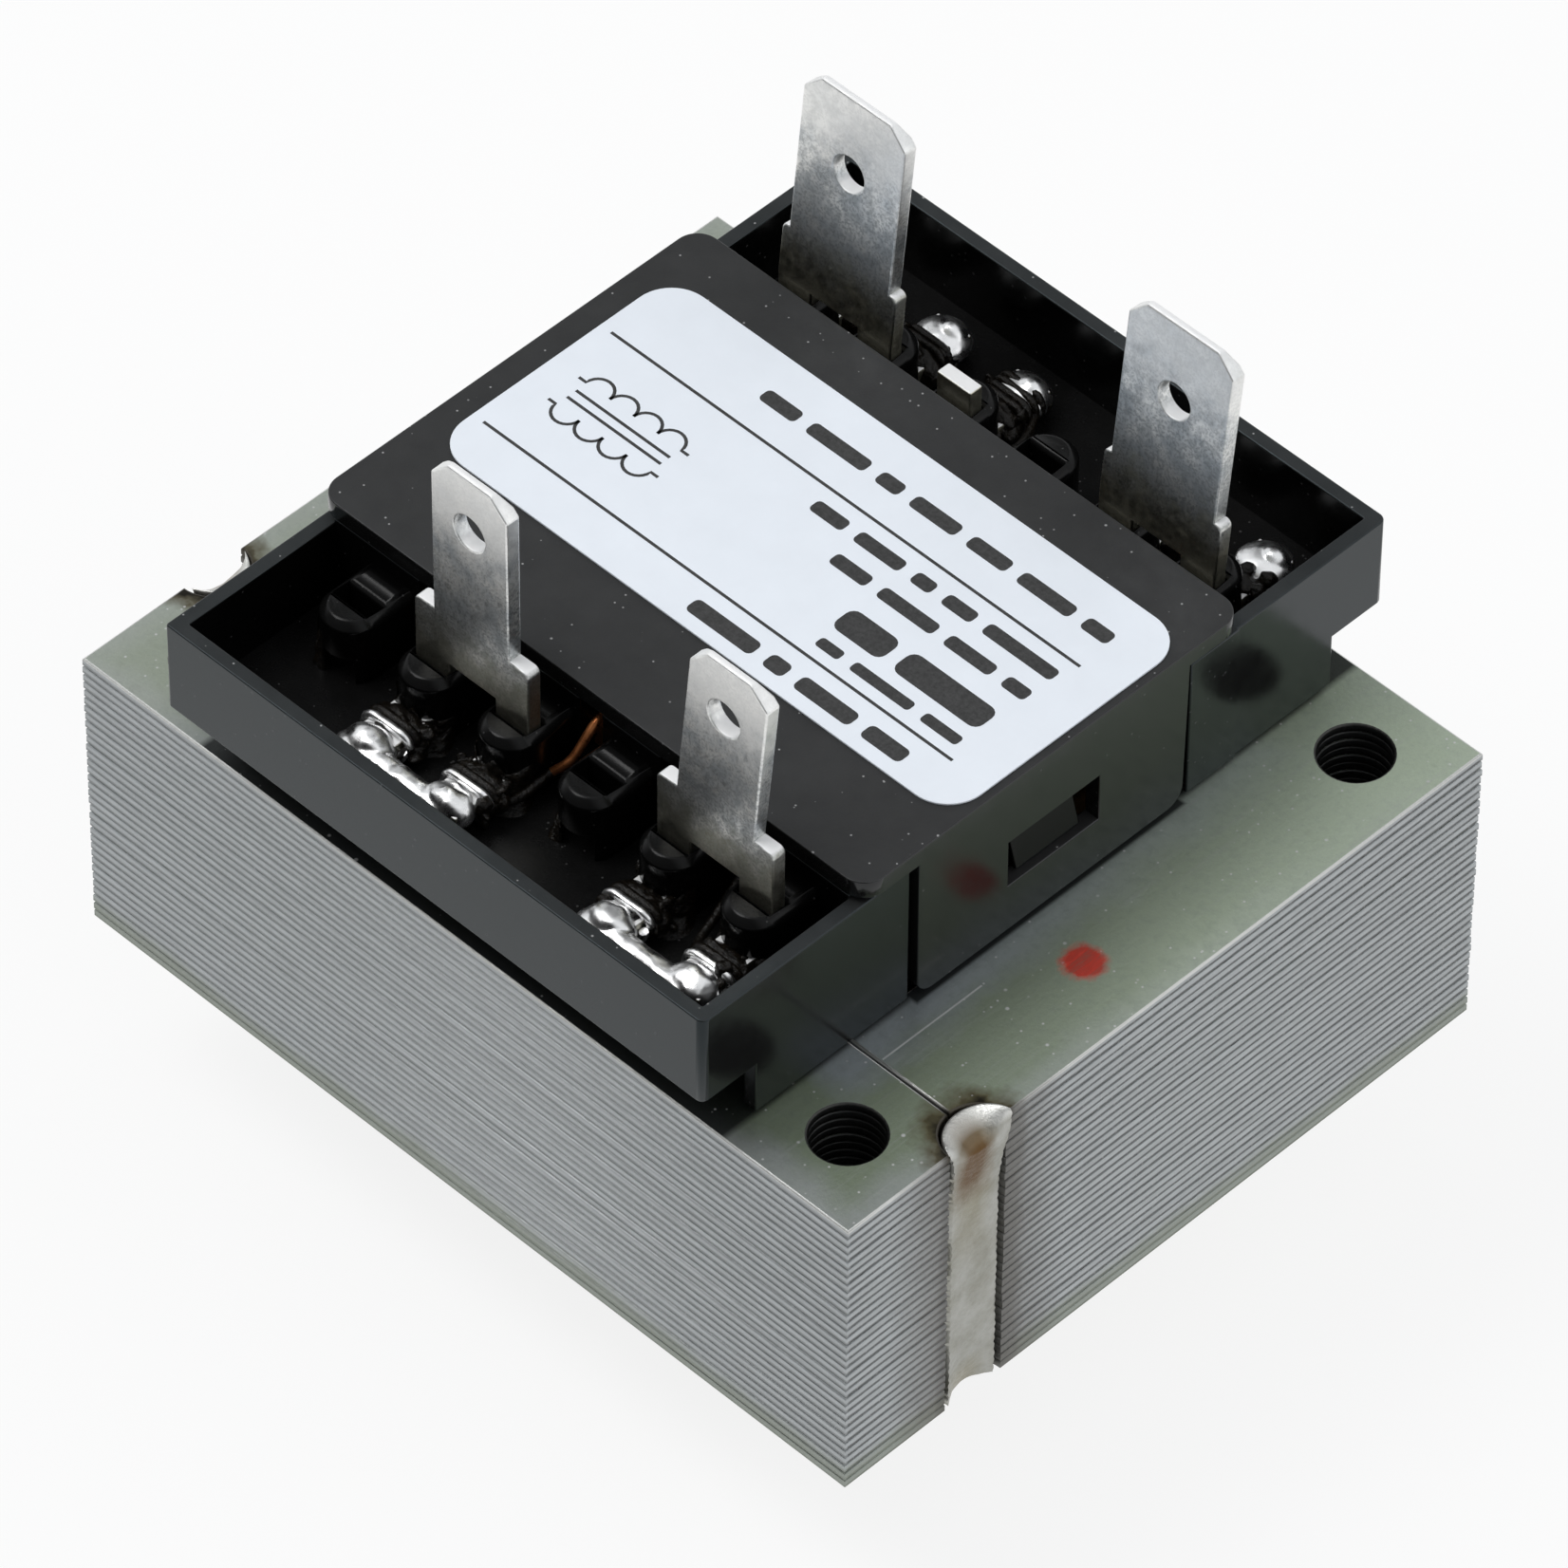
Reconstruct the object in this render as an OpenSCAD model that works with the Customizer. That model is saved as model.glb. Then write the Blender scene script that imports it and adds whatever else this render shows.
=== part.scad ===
// Welded EI transformer: laminated core, two-chamber coil former with a terminal tray at each end,
// clip-on coil cover and blade tabs on top.
// Origin: centre of the underside. X runs along the trays, Y along the coil's axis, Z up.
// The secondary tray is at -Y, the primary tray at +Y.

/* [Core] */
// Width of the core along X
core_w = 48; // [46:0.5:52]
// Depth of the core along Y, E sheets and I strips together
core_d = 40; // [38:0.5:44]
// Width of both yokes
yoke_w = 8; // [7.5:0.1:8.4]
// Width of the centre leg
leg_w = 16; // [15:0.25:17]
// Width of the window on each side of the centre leg
window_w = 8; // [7.6:0.1:8.6]
// Number of sheets in the stack
sheet_count = 34; // [28:1:40]
// Thickness of one sheet
sheet_t = 0.5; // [0.4:0.02:0.6]
// Height of the hairline between two sheets
seam_h = 0.1; // [0.05:0.01:0.16]
// Depth of the hairline between two sheets
seam_depth = 0.12; // [0.05:0.01:0.2]
// Diameter of the fixing holes
fix_hole_d = 3.5; // [3:0.1:4.5]
// Distance of the fixing holes from the front and rear edges of the core
fix_hole_inset = 4; // [3.5:0.1:4.5]
// Gap of the butt joint between E sheets and I strips
joint_gap = 0.05; // [0.02:0.01:0.1]

/* [Weld] */
// Radius of the groove over the joint on each side of the core
groove_r = 1.75; // [1.5:0.05:2.2]
// Width of the weld beads
weld_w = 2.9; // [2.4:0.05:3.3]
// How far the right-hand weld stays below the face of the core
right_weld_sink = 0.15; // [0.1:0.05:0.4]
// How far the left-hand weld stays below the face of the core
left_weld_sink = 0.7; // [0.4:0.05:0.9]
// Radius of the welds' bulging faces
weld_bulge_r = 12; // [6:1:16]
// Rise of the right-hand weld above the top sheet
right_weld_crown = 0.3; // [0.1:0.05:0.5]
// Rise of the left-hand weld above the top sheet
left_weld_crown = 0.1; // [0.05:0.05:0.3]
// Radius of the welds' rounded ends
weld_end_r = 0.8; // [0.5:0.05:1.1]

/* [Coil former] */
// Gap between the moulding and the sheets
core_gap = 0.2; // [0.1:0.05:0.3]
// Wall of the tube round the centre leg
tube_wall = 1; // [0.8:0.05:1.3]
// Thickness of each end flange
flange_t = 1; // [0.8:0.05:1.3]
// Thickness of the wall between the two chambers
divider_t = 1.6; // [1:0.1:2.2]
// Room between the coil and the underside of the flanges
drop_room = 1.75; // [1:0.05:2.5]
// Room between the coil and the rim of the trays
head_room = 1.85; // [1.5:0.05:2.5]

/* [Terminal trays] */
// How far the trays reach out from the flanges
tray_reach = 9.55; // [9:0.05:11]
// Height of the trays' outer walls
tray_h = 5.2; // [4.8:0.05:5.6]
// Wall of the trays
tray_wall = 0.75; // [0.6:0.05:0.9]
// Floor of the trays
tray_floor_t = 0.8; // [0.6:0.05:1]
// How far the trays stand out past the flanges on each side
tray_side = 0.7; // [0.5:0.05:0.9]
// Radius of the trays' outer corners
tray_corner_r = 0.5; // [0.3:0.05:0.7]
// How far the feet under the end walls reach out from the flanges
foot_reach = 6.3; // [5:0.1:7.5]
// Gap between the feet and the top sheet
foot_gap = 0.3; // [0.1:0.05:0.5]
// How far the end walls stand proud beside the flanges
ear_step = 0.1; // [0.05:0.01:0.2]

/* [Posts] */
// Distance between neighbouring posts
post_pitch = 5; // [4.6:0.1:5.2]
// Width of each post
post_w = 3; // [2.8:0.05:3.3]
// How far the posts stay below the rim of the trays
post_drop = 0.75; // [0.5:0.05:1]
// Distance of the terminal slots from the flanges
slot_reach = 1.95; // [1.6:0.05:2.2]
// Distance from the slots to the round nose's centre
nose_reach = 0.4; // [0.3:0.05:0.6]
// Chamfer round the top of each post
post_chamfer = 0.4; // [0.2:0.05:0.5]
// Gap round each terminal in its slot
slot_gap = 0.05; // [0.03:0.01:0.08]
// Lead-in chamfer along the top of each slot
slot_lead = 0.2; // [0.1:0.05:0.3]
// Width of the wire notches in the flanges between the posts
notch_w = 1.4; // [1:0.05:1.7]

/* [Blade tabs] */
// Thickness of the tab sheet
tab_t = 0.8; // [0.6:0.05:0.9]
// Width of the primary blades
primary_blade_w = 6.3; // [5.5:0.1:6.6]
// Width of the secondary blades
secondary_blade_w = 4.7; // [4:0.1:6]
// Length of the primary blades above their shoulders
primary_blade_l = 9.2; // [7:0.1:11]
// Length of the secondary blades above their shoulders
secondary_blade_l = 9.5; // [7:0.1:11]
// Height of the shoulders above the lower edge of the tabs
shoulder_h = 2.95; // [2.5:0.05:3.6]
// Radius of the shoulders' corners
shoulder_r = 0.35; // [0.2:0.05:0.6]
// Width of each leg in its post
tab_leg_w = 2.1; // [1.8:0.05:2.3]
// Gap between the lower edge of the tabs and the tops of the posts
tab_lift = 0.55; // [0.3:0.05:0.8]
// Chamfer on the corners of the blade tips
tip_chamfer = 1; // [0.6:0.05:1.3]
// Depth of the lead-in bevel on the rear face of the blade tips
tip_bevel = 0.4; // [0.2:0.05:0.5]
// Length of the lead-in bevel
tip_bevel_l = 0.7; // [0.4:0.1:1.2]
// Small bevel on the front face of the blade tips
tip_edge = 0.12; // [0.05:0.01:0.15]
// Diameter of the detent hole in the primary blades
primary_hole_d = 1.9; // [1.4:0.1:2.2]
// Diameter of the detent hole in the secondary blades
secondary_hole_d = 1.9; // [1.2:0.1:2.2]
// Distance of the detent holes from the tips of the primary blades
primary_hole_drop = 4.2; // [3:0.1:4.6]
// Distance of the detent holes from the tips of the secondary blades
secondary_hole_drop = 3.2; // [3:0.1:4.6]
// Outward lean of the primary blades in degrees
primary_lean = 6; // [0:0.5:8]
// Sideways set of the right secondary blade at its tip
secondary_set = 0.8; // [0:0.1:1]
// Height of the solder tails above the tray floor
tail_lift = 0.65; // [0.6:0.05:0.8]
// How far the solder tails reach out from the slots
tail_reach = 4.9; // [4.6:0.1:5.4]
// Height of the link pin above its post
link_pin_h = 1.35; // [1:0.05:2.5]

/* [Cover] */
// Thickness of the cover's plate
cover_t = 1; // [0.8:0.05:1.3]
// Thickness of the cover's skirts
skirt_t = 0.9; // [0.7:0.05:1.1]
// Gap between the skirts and the flanges
skirt_gap = 0.1; // [0.05:0.05:0.2]
// Gap between the skirts and the top sheet
skirt_lift = 0.4; // [0.2:0.05:0.8]
// Length of the skirts along Y
skirt_l = 16.9; // [15:0.1:18]
// Gap between the skirts and the end walls of the trays
skirt_end_gap = 0.25; // [0.15:0.05:0.4]
// Gap between the rims of the trays and the plate
cover_lift = 0.3; // [0.2:0.05:0.5]
// Gap between the tops of the flanges and the plate
cover_seat = 0.05; // [0.02:0.01:0.1]
// How far the plate reaches out past the flanges
cover_lap = 0.05; // [0:0.05:0.5]
// Radius of the plate's corners
cover_corner_r = 1.2; // [0.8:0.1:2]
// Radius of the skirts' lower corners
skirt_corner_r = 1; // [0.5:0.1:1.4]
// Width of the latch windows
latch_window_w = 5.7; // [5:0.1:6.5]
// Height of the latch windows
latch_window_h = 2.8; // [2.4:0.1:3.2]
// Distance of the latch windows below the plate
latch_window_drop = 2.8; // [2.4:0.1:3.2]
// Gap between the latches and the edges of their windows
latch_gap = 0.15; // [0.1:0.05:0.25]
// Gap between the latches and the sides of their windows
latch_side_gap = 0.85; // [0.3:0.05:1]
// How far the latches stand out
latch_out = 0.65; // [0.4:0.05:0.8]
// Thickness of the plates that carry the latches
latch_plate_t = 0.85; // [0.7:0.05:1]

/* [Label] */
// Length of the label along X
label_l = 32; // [26:0.5:32.5]
// Width of the label along Y
label_w = 15; // [12:0.2:16]
// Thickness of the label
label_t = 0.12; // [0.08:0.01:0.2]
// Radius of the label's corners
label_corner_r = 2; // [0.8:0.1:3]
// Shift of the label towards the primary tray
label_shift = 1.2; // [0:0.1:2.5]
// Shift of the label towards the right-hand end
label_slip = 0.4; // [0:0.1:0.5]

/* [Windings] */
// Room between the coil and the latch plates
coil_room = 0.3; // [0.2:0.05:0.6]
// Thickness of the tape round each winding
tape_t = 0.25; // [0.15:0.05:0.4]
// Strip beside each flange that the tape leaves free
tape_margin = 0.9; // [0.7:0.05:1.2]
// Radius of the winding's corners
coil_corner_r = 3; // [2:0.1:4]
// How much thinner the primary winding is, for the fuse above it
fuse_sink = 1.2; // [1:0.05:1.6]
// Diameter of the secondary winding's wire ends
secondary_wire_d = 0.55; // [0.4:0.05:0.6]
// Diameter of the primary winding's and the fuse's wire ends
primary_wire_d = 0.4; // [0.25:0.05:0.5]
// Height of the wire ends above the secondary winding
secondary_wire_rise = 0.8; // [0.6:0.05:1]
// Height of the primary wire ends above the middle of the fuse
primary_wire_rise = 0.3; // [0.2:0.05:0.5]
// Distance that the wire ends keep from the flanges
wire_step = 0.6; // [0.5:0.05:0.8]
// Distance of the first turn on a tail from the posts
wrap_step = 1.1; // [0.7:0.05:1.3]
// Turns of each wire end round a tail
wrap_turns = 2; // [1:1:2]
// Gap between a wrapped wire end and its tail
wrap_gap = 0.02; // [0.01:0.01:0.04]
// Radius of the solder on each tail
solder_r = 1.2; // [1:0.05:1.3]
// Distance from the end of a tail to the middle of its solder
solder_inset = 0.3; // [0.1:0.05:0.5]
// Radius of the solder that bridges the tails of a secondary tab
bridge_r = 0.45; // [0.3:0.05:0.6]

/* [Thermal fuse] */
// Width of the fuse along X
fuse_w = 7; // [6:0.1:9]
// Depth of the fuse along Y
fuse_d = 5; // [4:0.1:6]
// Height of the fuse
fuse_h = 2.3; // [1.8:0.05:2.5]
// Radius of the fuse's edges
fuse_edge_r = 0.6; // [0.3:0.05:0.9]

/* [Hidden] */

$fn = 48;
// Fineness of the thin welds' wide curves
weld_fn = 192;

// Overlap of shapes that are fused, and overshoot of cuts
eps = 0.05;
// Swelling of a wire at its bends
bend_swell = 1.15;
// Clear height beyond any piece, for cuts that run right out
far = 100;

// Posts in each tray, counted from the left
post_count = 6;
primary_left_post = 0;
primary_right_post = 4;
secondary_left_post = 1;
secondary_right_post = 4;
link_index = 2;

steel = "#8f9694";
weld_steel = "#b4b0a6";
moulding_black = "#2b2b2d";
tinned = "#b9bab4";
copper = "#a5522a";

// Core
stack_h = sheet_count * sheet_t;
window_x = leg_w / 2 + window_w;
window_y = core_d / 2 - yoke_w;
joint_y = -window_y;
hole_x = (core_w / 2 + window_x) / 2;
hole_y = core_d / 2 - fix_hole_inset;

// Coil former and windings, as half sizes round the middle of the leg
flange_x = window_x - core_gap;
flange_y = window_y - core_gap;
tube_x = leg_w / 2 + core_gap + tube_wall;
tube_z = stack_h / 2 + core_gap + tube_wall;
secondary_build = flange_x - latch_plate_t - coil_room - tape_t - tube_x;
primary_build = secondary_build - fuse_sink;
coil_top_z = tube_z + secondary_build + tape_t;

// Heights
mid_z = coil_top_z + drop_room;
core_z = mid_z - stack_h / 2;
core_top = mid_z + stack_h / 2;
rim_z = mid_z + coil_top_z + head_room;
tray_z = rim_z - tray_h;
floor_z = tray_z + tray_floor_t;
post_z = rim_z - post_drop;
foot_z = core_top + foot_gap;
plate_z = rim_z + cover_lift;
flange_top = plate_z - cover_seat;
primary_top = mid_z + tube_z + primary_build;
secondary_top = mid_z + tube_z + secondary_build;
fuse_z = primary_top + tape_t;
fuse_mid_z = fuse_z + fuse_h / 2;
secondary_wire_z = secondary_top + secondary_wire_rise;
primary_wire_z = fuse_mid_z + primary_wire_rise;

// Trays, seen towards +Y
tray_x = flange_x + tray_side;
tray_y = flange_y + tray_reach;
foot_y = flange_y + foot_reach;
ear_y = skirt_l / 2 + skirt_end_gap;
slot_y = flange_y + slot_reach;
nose_y = slot_y + nose_reach;
nose_tip_y = nose_y + post_w / 2;
slot_l = tab_leg_w + 2 * slot_gap;
slot_w = tab_t + 2 * slot_gap;
notch_z = primary_top;

// Tabs
tail_z = floor_z + tail_lift;
tail_mid_z = tail_z + tab_t / 2;
tail_end_y = slot_y + tail_reach;
body_z = post_z + tab_lift;
body_w = post_pitch + tab_leg_w;

// Cover
skirt_x = flange_x + skirt_gap;
cover_x = skirt_x + skirt_t;
cover_y = flange_y + cover_lap;
skirt_z = core_top + skirt_lift;
window_top = plate_z - latch_window_drop;
window_bottom = window_top - latch_window_h;
latch_w = latch_window_w - 2 * latch_side_gap;

// Windings and wire ends
chamber_start = divider_t / 2;
chamber_end = flange_y - flange_t;
wire_exit_y = chamber_end - tape_margin / 2;
wrap_y = nose_tip_y + wrap_step;
fuse_y = (chamber_start + chamber_end) / 2;

// Place of a post along X
function post_x(i) = (i - (post_count - 1) / 2) * post_pitch;

// Place of the gap after a post along X
function gap_x(i) = post_x(i) + post_pitch / 2;

// One side of the stack's edge, from the lowest sheet to the top one
function edge_points(half) = [
    for (i = [0 : sheet_count - 1])
        let (low = i * sheet_t + (i == 0 ? 0 : seam_h / 2))
        let (high = (i + 1) * sheet_t - (i == sheet_count - 1 ? 0 : seam_h / 2))
        each i == sheet_count - 1
            ? [[half, low], [half, high]]
            : [[half, low], [half, high], [half - seam_depth, high], [half - seam_depth, high + seam_h]]
];

// The same edge on the other side, from the top sheet down
function opposite(points) = [for (i = [len(points) - 1 : -1 : 0]) [-points[i].x, points[i].y]];

// Route of a wire end: out of its chamber, between two posts and down to the side of a tail
function wire_route(start, high_z, x, end_x, end_y) = concat(start, [
    [x, flange_y + wire_step, high_z],
    [x, end_y, tail_mid_z],
    [end_x, end_y, tail_mid_z]
]);

// Start of a route that rises from a winding beside the flange
function rise(x, low_z, high_z) = [[x, wire_exit_y, low_z], [x, wire_exit_y, high_z]];

// Extrude an X-Z drawing along Y
module along_y(start, length) {
    translate([0, start + length, 0]) rotate([90, 0, 0]) linear_extrude(length) children();
}

// Extrude a Y-Z drawing along X
module along_x(start, length) {
    translate([start, 0, 0]) rotate([90, 0, 90]) linear_extrude(length) children();
}

// Box between two corners
module box(low, high) {
    translate(low) cube(high - low);
}

// Centred rectangle with true round corners
module rounded_rect(w, h, r) {
    square([w - 2 * r, h], center = true);
    square([w, h - 2 * r], center = true);
    for (x = [-1, 1], y = [-1, 1]) translate([x * (w / 2 - r), y * (h / 2 - r)]) circle(r);
}

// Straight length of wire
module strand(from, to, d) {
    run = to - from;
    length = norm(run);
    translate(from) rotate([0, acos(run.z / length), atan2(run.y, run.x)]) cylinder(h = length, d = d);
}

// Wire along a route
module wire(route, d) {
    for (i = [0 : len(route) - 2]) strand(route[i], route[i + 1], d);
    for (i = [1 : len(route) - 2]) translate(route[i]) sphere(d = d * bend_swell);
}

// Turns of wire round a tail
module wrap(x, start, d) {
    inner_w = tab_leg_w + 2 * wrap_gap;
    inner_h = tab_t + 2 * wrap_gap;
    for (turn = [0 : wrap_turns - 1])
        along_y(start + turn * (d - eps), d) translate([x, tail_mid_z]) difference() {
            rounded_rect(inner_w + 2 * d, inner_h + 2 * d, d);
            square([inner_w, inner_h], center = true);
        }
}

// Stack of sheets of a given plan, with hairlines on its outer edges
module sheet_stack() {
    half_x = edge_points(core_w / 2);
    half_y = edge_points(core_d / 2);
    translate([0, 0, core_z]) intersection() {
        linear_extrude(stack_h) children();
        along_y(-core_d / 2, core_d) polygon(concat(half_x, opposite(half_x)));
        along_x(-core_w / 2, core_w) polygon(concat(half_y, opposite(half_y)));
    }
}

module fixing_holes() {
    for (x = [-1, 1], y = [-1, 1]) translate([x * hole_x, y * hole_y]) circle(d = fix_hole_d);
}

module weld_grooves() {
    for (x = [-1, 1]) translate([x * core_w / 2, joint_y]) circle(groove_r);
}

module e_stack() {
    color(steel) sheet_stack() difference() {
        translate([-core_w / 2, joint_y]) square([core_w, core_d / 2 - joint_y]);
        for (x = [-1, 1])
            translate([x > 0 ? leg_w / 2 : -window_x, joint_y - eps]) square([window_w, 2 * window_y + eps]);
        fixing_holes();
        weld_grooves();
    }
}

module i_stack() {
    color(steel) sheet_stack() difference() {
        translate([-core_w / 2, -core_d / 2]) square([core_w, yoke_w - joint_gap]);
        fixing_holes();
        weld_grooves();
    }
}

// Weld in the right-hand groove, with a bulging face and rounded ends
module weld_bead(sink, crown) {
    $fn = weld_fn;
    bead_h = stack_h + crown;
    face_x = core_w / 2 - sink;
    intersection() {
        translate([0, 0, core_z]) linear_extrude(bead_h) intersection() {
            translate([core_w / 2, joint_y]) circle(groove_r - joint_gap);
            translate([face_x - weld_bulge_r, joint_y]) circle(weld_bulge_r);
        }
        along_x(0, core_w) translate([joint_y, core_z + bead_h / 2])
            rounded_rect(weld_w, bead_h, weld_end_r);
    }
}

module weld_bead_right() {
    color(weld_steel) weld_bead(right_weld_sink, right_weld_crown);
}

module weld_bead_left() {
    color(weld_steel) mirror([1, 0, 0]) weld_bead(left_weld_sink, left_weld_crown);
}

// Plan of a tray's outside, inset by a wall
module tray_plan(inset) {
    r = tray_corner_r;
    half_x = tray_x - inset;
    outer_y = tray_y - inset;
    translate([-half_x, flange_y - flange_t]) square([2 * half_x, outer_y - r - flange_y + flange_t]);
    translate([-half_x + r, flange_y]) square([2 * (half_x - r), outer_y - flange_y]);
    for (x = [-1, 1]) translate([x * (half_x - r), outer_y - r]) circle(r);
}

// Right-hand end wall: the foot under the tray, and the ear that stands proud beside the coil
module end_wall() {
    inner_x = tray_x - tray_wall;
    box([inner_x, ear_y, foot_z], [tray_x, foot_y, floor_z]);
    box([inner_x, ear_y, foot_z], [tray_x + ear_step, flange_y, rim_z]);
}

// Half of a post's section, with its chamfered upper edge
module half_post() {
    half = post_w / 2;
    polygon([[0, tray_z], [half, tray_z], [half, post_z - post_chamfer],
             [half - post_chamfer, post_z], [0, post_z]]);
}

module posts() {
    for (i = [0 : post_count - 1]) translate([post_x(i), 0, 0]) {
        for (x = [0, 1]) mirror([x, 0, 0]) along_y(flange_y - eps, nose_y - flange_y + eps) half_post();
        translate([0, nose_y, 0]) rotate_extrude() half_post();
    }
}

// Slot of each post with its lead-in, and the arch that lets the solder tail out
module post_slots() {
    wide = slot_w / 2 + slot_lead;
    for (i = [0 : post_count - 1]) translate([post_x(i), 0, 0]) {
        box([-slot_l / 2, slot_y - slot_w / 2, floor_z], [slot_l / 2, slot_y + slot_w / 2, post_z + eps]);
        box([-slot_l / 2, slot_y, floor_z], [slot_l / 2, nose_tip_y + eps, tail_z + tab_t + slot_gap]);
        along_x(-slot_l / 2, slot_l) translate([slot_y, post_z])
            polygon([[-wide - eps, eps], [wide + eps, eps], [0, -wide]]);
    }
}

// Notches in the flange that let the wire ends through between the posts
module wire_notches() {
    for (i = [0 : post_count - 2]) translate([gap_x(i), 0, 0])
        box([-notch_w / 2, flange_y - flange_t - eps, notch_z], [notch_w / 2, flange_y + eps, far]);
}

// Tray with its flange and posts, towards +Y
module tray() {
    difference() {
        union() {
            difference() {
                translate([0, 0, tray_z]) linear_extrude(tray_h) tray_plan(0);
                translate([0, 0, floor_z]) linear_extrude(tray_h) tray_plan(tray_wall);
            }
            for (x = [0, 1]) mirror([x, 0, 0]) end_wall();
            box([-tray_x, flange_y - flange_t, foot_z], [tray_x, flange_y, rim_z]);
            box([-flange_x, flange_y - flange_t, 0], [flange_x, flange_y, flange_top]);
            posts();
        }
        post_slots();
        wire_notches();
    }
}

// Latch on the right-hand end of the chamber wall, with the plate that carries it
module latch() {
    low = window_bottom + latch_gap;
    high = window_top - latch_gap;
    box([flange_x - latch_plate_t, -latch_w / 2, low], [flange_x, latch_w / 2, high]);
    along_y(-latch_w / 2, latch_w)
        polygon([[flange_x - eps, low], [flange_x + latch_out, low], [flange_x - eps, high]]);
}

module coil_former() {
    color(moulding_black) difference() {
        union() {
            box([-tube_x, -flange_y, mid_z - tube_z], [tube_x, flange_y, mid_z + tube_z]);
            box([-flange_x, -divider_t / 2, 0], [flange_x, divider_t / 2, flange_top]);
            for (y = [0, 1]) mirror([0, y, 0]) tray();
            for (x = [0, 1]) mirror([x, 0, 0]) latch();
        }
        box([-tube_x + tube_wall, -far, core_z - core_gap], [tube_x - tube_wall, far, core_top + core_gap]);
    }
}

module coil_cover() {
    skirt_h = plate_z - skirt_z;
    color(moulding_black) {
        translate([0, 0, plate_z]) linear_extrude(cover_t)
            rounded_rect(2 * cover_x, 2 * cover_y, cover_corner_r);
        for (x = [-cover_x, skirt_x]) along_x(x, skirt_t) difference() {
            union() {
                translate([0, skirt_z + skirt_h / 2]) rounded_rect(skirt_l, skirt_h, skirt_corner_r);
                translate([-skirt_l / 2, skirt_z + skirt_h / 2]) square([skirt_l, skirt_h / 2 + eps]);
            }
            translate([-latch_window_w / 2, window_bottom]) square([latch_window_w, latch_window_h]);
        }
    }
}

module rating_label() {
    color("white") translate([label_slip, label_shift, plate_z + cover_t])
        linear_extrude(label_t) rounded_rect(label_l, label_w, label_corner_r);
}

// Section of a winding round the tube
module coil_plan(build) {
    rounded_rect(2 * (tube_x + build), 2 * (tube_z + build), coil_corner_r);
}

module winding(build) {
    along_y(chamber_start, chamber_end - chamber_start) translate([0, mid_z]) difference() {
        coil_plan(build);
        square([2 * tube_x, 2 * tube_z], center = true);
    }
}

module tape(build) {
    along_y(chamber_start + tape_margin, chamber_end - chamber_start - 2 * tape_margin)
        translate([0, mid_z]) difference() {
            rounded_rect(2 * (tube_x + build + tape_t), 2 * (tube_z + build + tape_t),
                         coil_corner_r + tape_t);
            coil_plan(build);
        }
}

module primary_winding() {
    color(copper) winding(primary_build);
}

module secondary_winding() {
    color(copper) mirror([0, 1, 0]) winding(secondary_build);
}

module primary_tape() {
    color("#c9a24a") tape(primary_build);
}

module secondary_tape() {
    color("#c9a24a") mirror([0, 1, 0]) tape(secondary_build);
}

// Leg in its post with the solder tail that runs out over the tray floor
module leg(x) {
    half_w = tab_leg_w / 2;
    half_t = tab_t / 2;
    box([x - half_w, slot_y - half_t, tail_z], [x + half_w, slot_y + half_t, body_z + eps]);
    box([x - half_w, slot_y - half_t, tail_z], [x + half_w, tail_end_y, tail_z + tab_t]);
}

// Flat outline of a tab below its blade, with rounded shoulders and its lower edge at zero
module shoulder_plan() {
    r = shoulder_r;
    translate([-body_w / 2, 0]) square([body_w, shoulder_h - r]);
    translate([r - body_w / 2, 0]) square([body_w - 2 * r, shoulder_h]);
    for (x = [-1, 1]) translate([x * (body_w / 2 - r), shoulder_h - r]) circle(r);
}

// Flat outline of a blade on its shoulders
module blade_plan(blade_w, blade_l, hole_d, hole_drop, set) {
    tip = shoulder_h + blade_l;
    half = blade_w / 2;
    difference() {
        union() {
            shoulder_plan();
            polygon([[-half, shoulder_h - eps], [half, shoulder_h - eps], [half + set, tip - tip_chamfer],
                     [half + set - tip_chamfer, tip], [tip_chamfer + set - half, tip],
                     [set - half, tip - tip_chamfer]]);
        }
        translate([set * (blade_l - hole_drop) / blade_l, tip - hole_drop]) circle(d = hole_d);
    }
}

// Cut along one edge of a blade's tip, on the face towards +Y
module tip_cut(tip, depth, length) {
    face = tab_t / 2;
    along_x(-body_w, 2 * body_w)
        polygon([[face - depth, tip + eps], [face - depth, tip], [face, tip - length],
                 [face + eps, tip - length], [face + eps, tip + eps]]);
}

module tab_legs(first_post) {
    for (i = [0, 1]) leg(post_x(first_post + i));
}

// Primary tab: its rear face points outwards, towards +Y
module primary_tab(first_post) {
    tip = shoulder_h + primary_blade_l;
    tab_legs(first_post);
    translate([gap_x(first_post), slot_y, body_z]) rotate([-primary_lean, 0, 0]) difference() {
        along_y(-tab_t / 2, tab_t)
            blade_plan(primary_blade_w, primary_blade_l, primary_hole_d, primary_hole_drop, 0);
        tip_cut(tip, tip_bevel, tip_bevel_l);
        mirror([0, 1, 0]) tip_cut(tip, tip_edge, tip_edge);
    }
}

// Secondary tab, drawn towards +Y: its front face points outwards
module secondary_tab(first_post, set) {
    tip = shoulder_h + secondary_blade_l;
    tab_legs(first_post);
    translate([gap_x(first_post), slot_y, body_z]) difference() {
        along_y(-tab_t / 2, tab_t)
            blade_plan(secondary_blade_w, secondary_blade_l, secondary_hole_d, secondary_hole_drop, set);
        tip_cut(tip, tip_edge, tip_edge);
        mirror([0, 1, 0]) tip_cut(tip, tip_bevel, tip_bevel_l);
    }
}

module primary_tab_left() {
    color(tinned) primary_tab(primary_left_post);
}

module primary_tab_right() {
    color(tinned) primary_tab(primary_right_post);
}

module secondary_tab_left() {
    color(tinned) mirror([0, 1, 0]) secondary_tab(secondary_left_post, 0);
}

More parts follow.
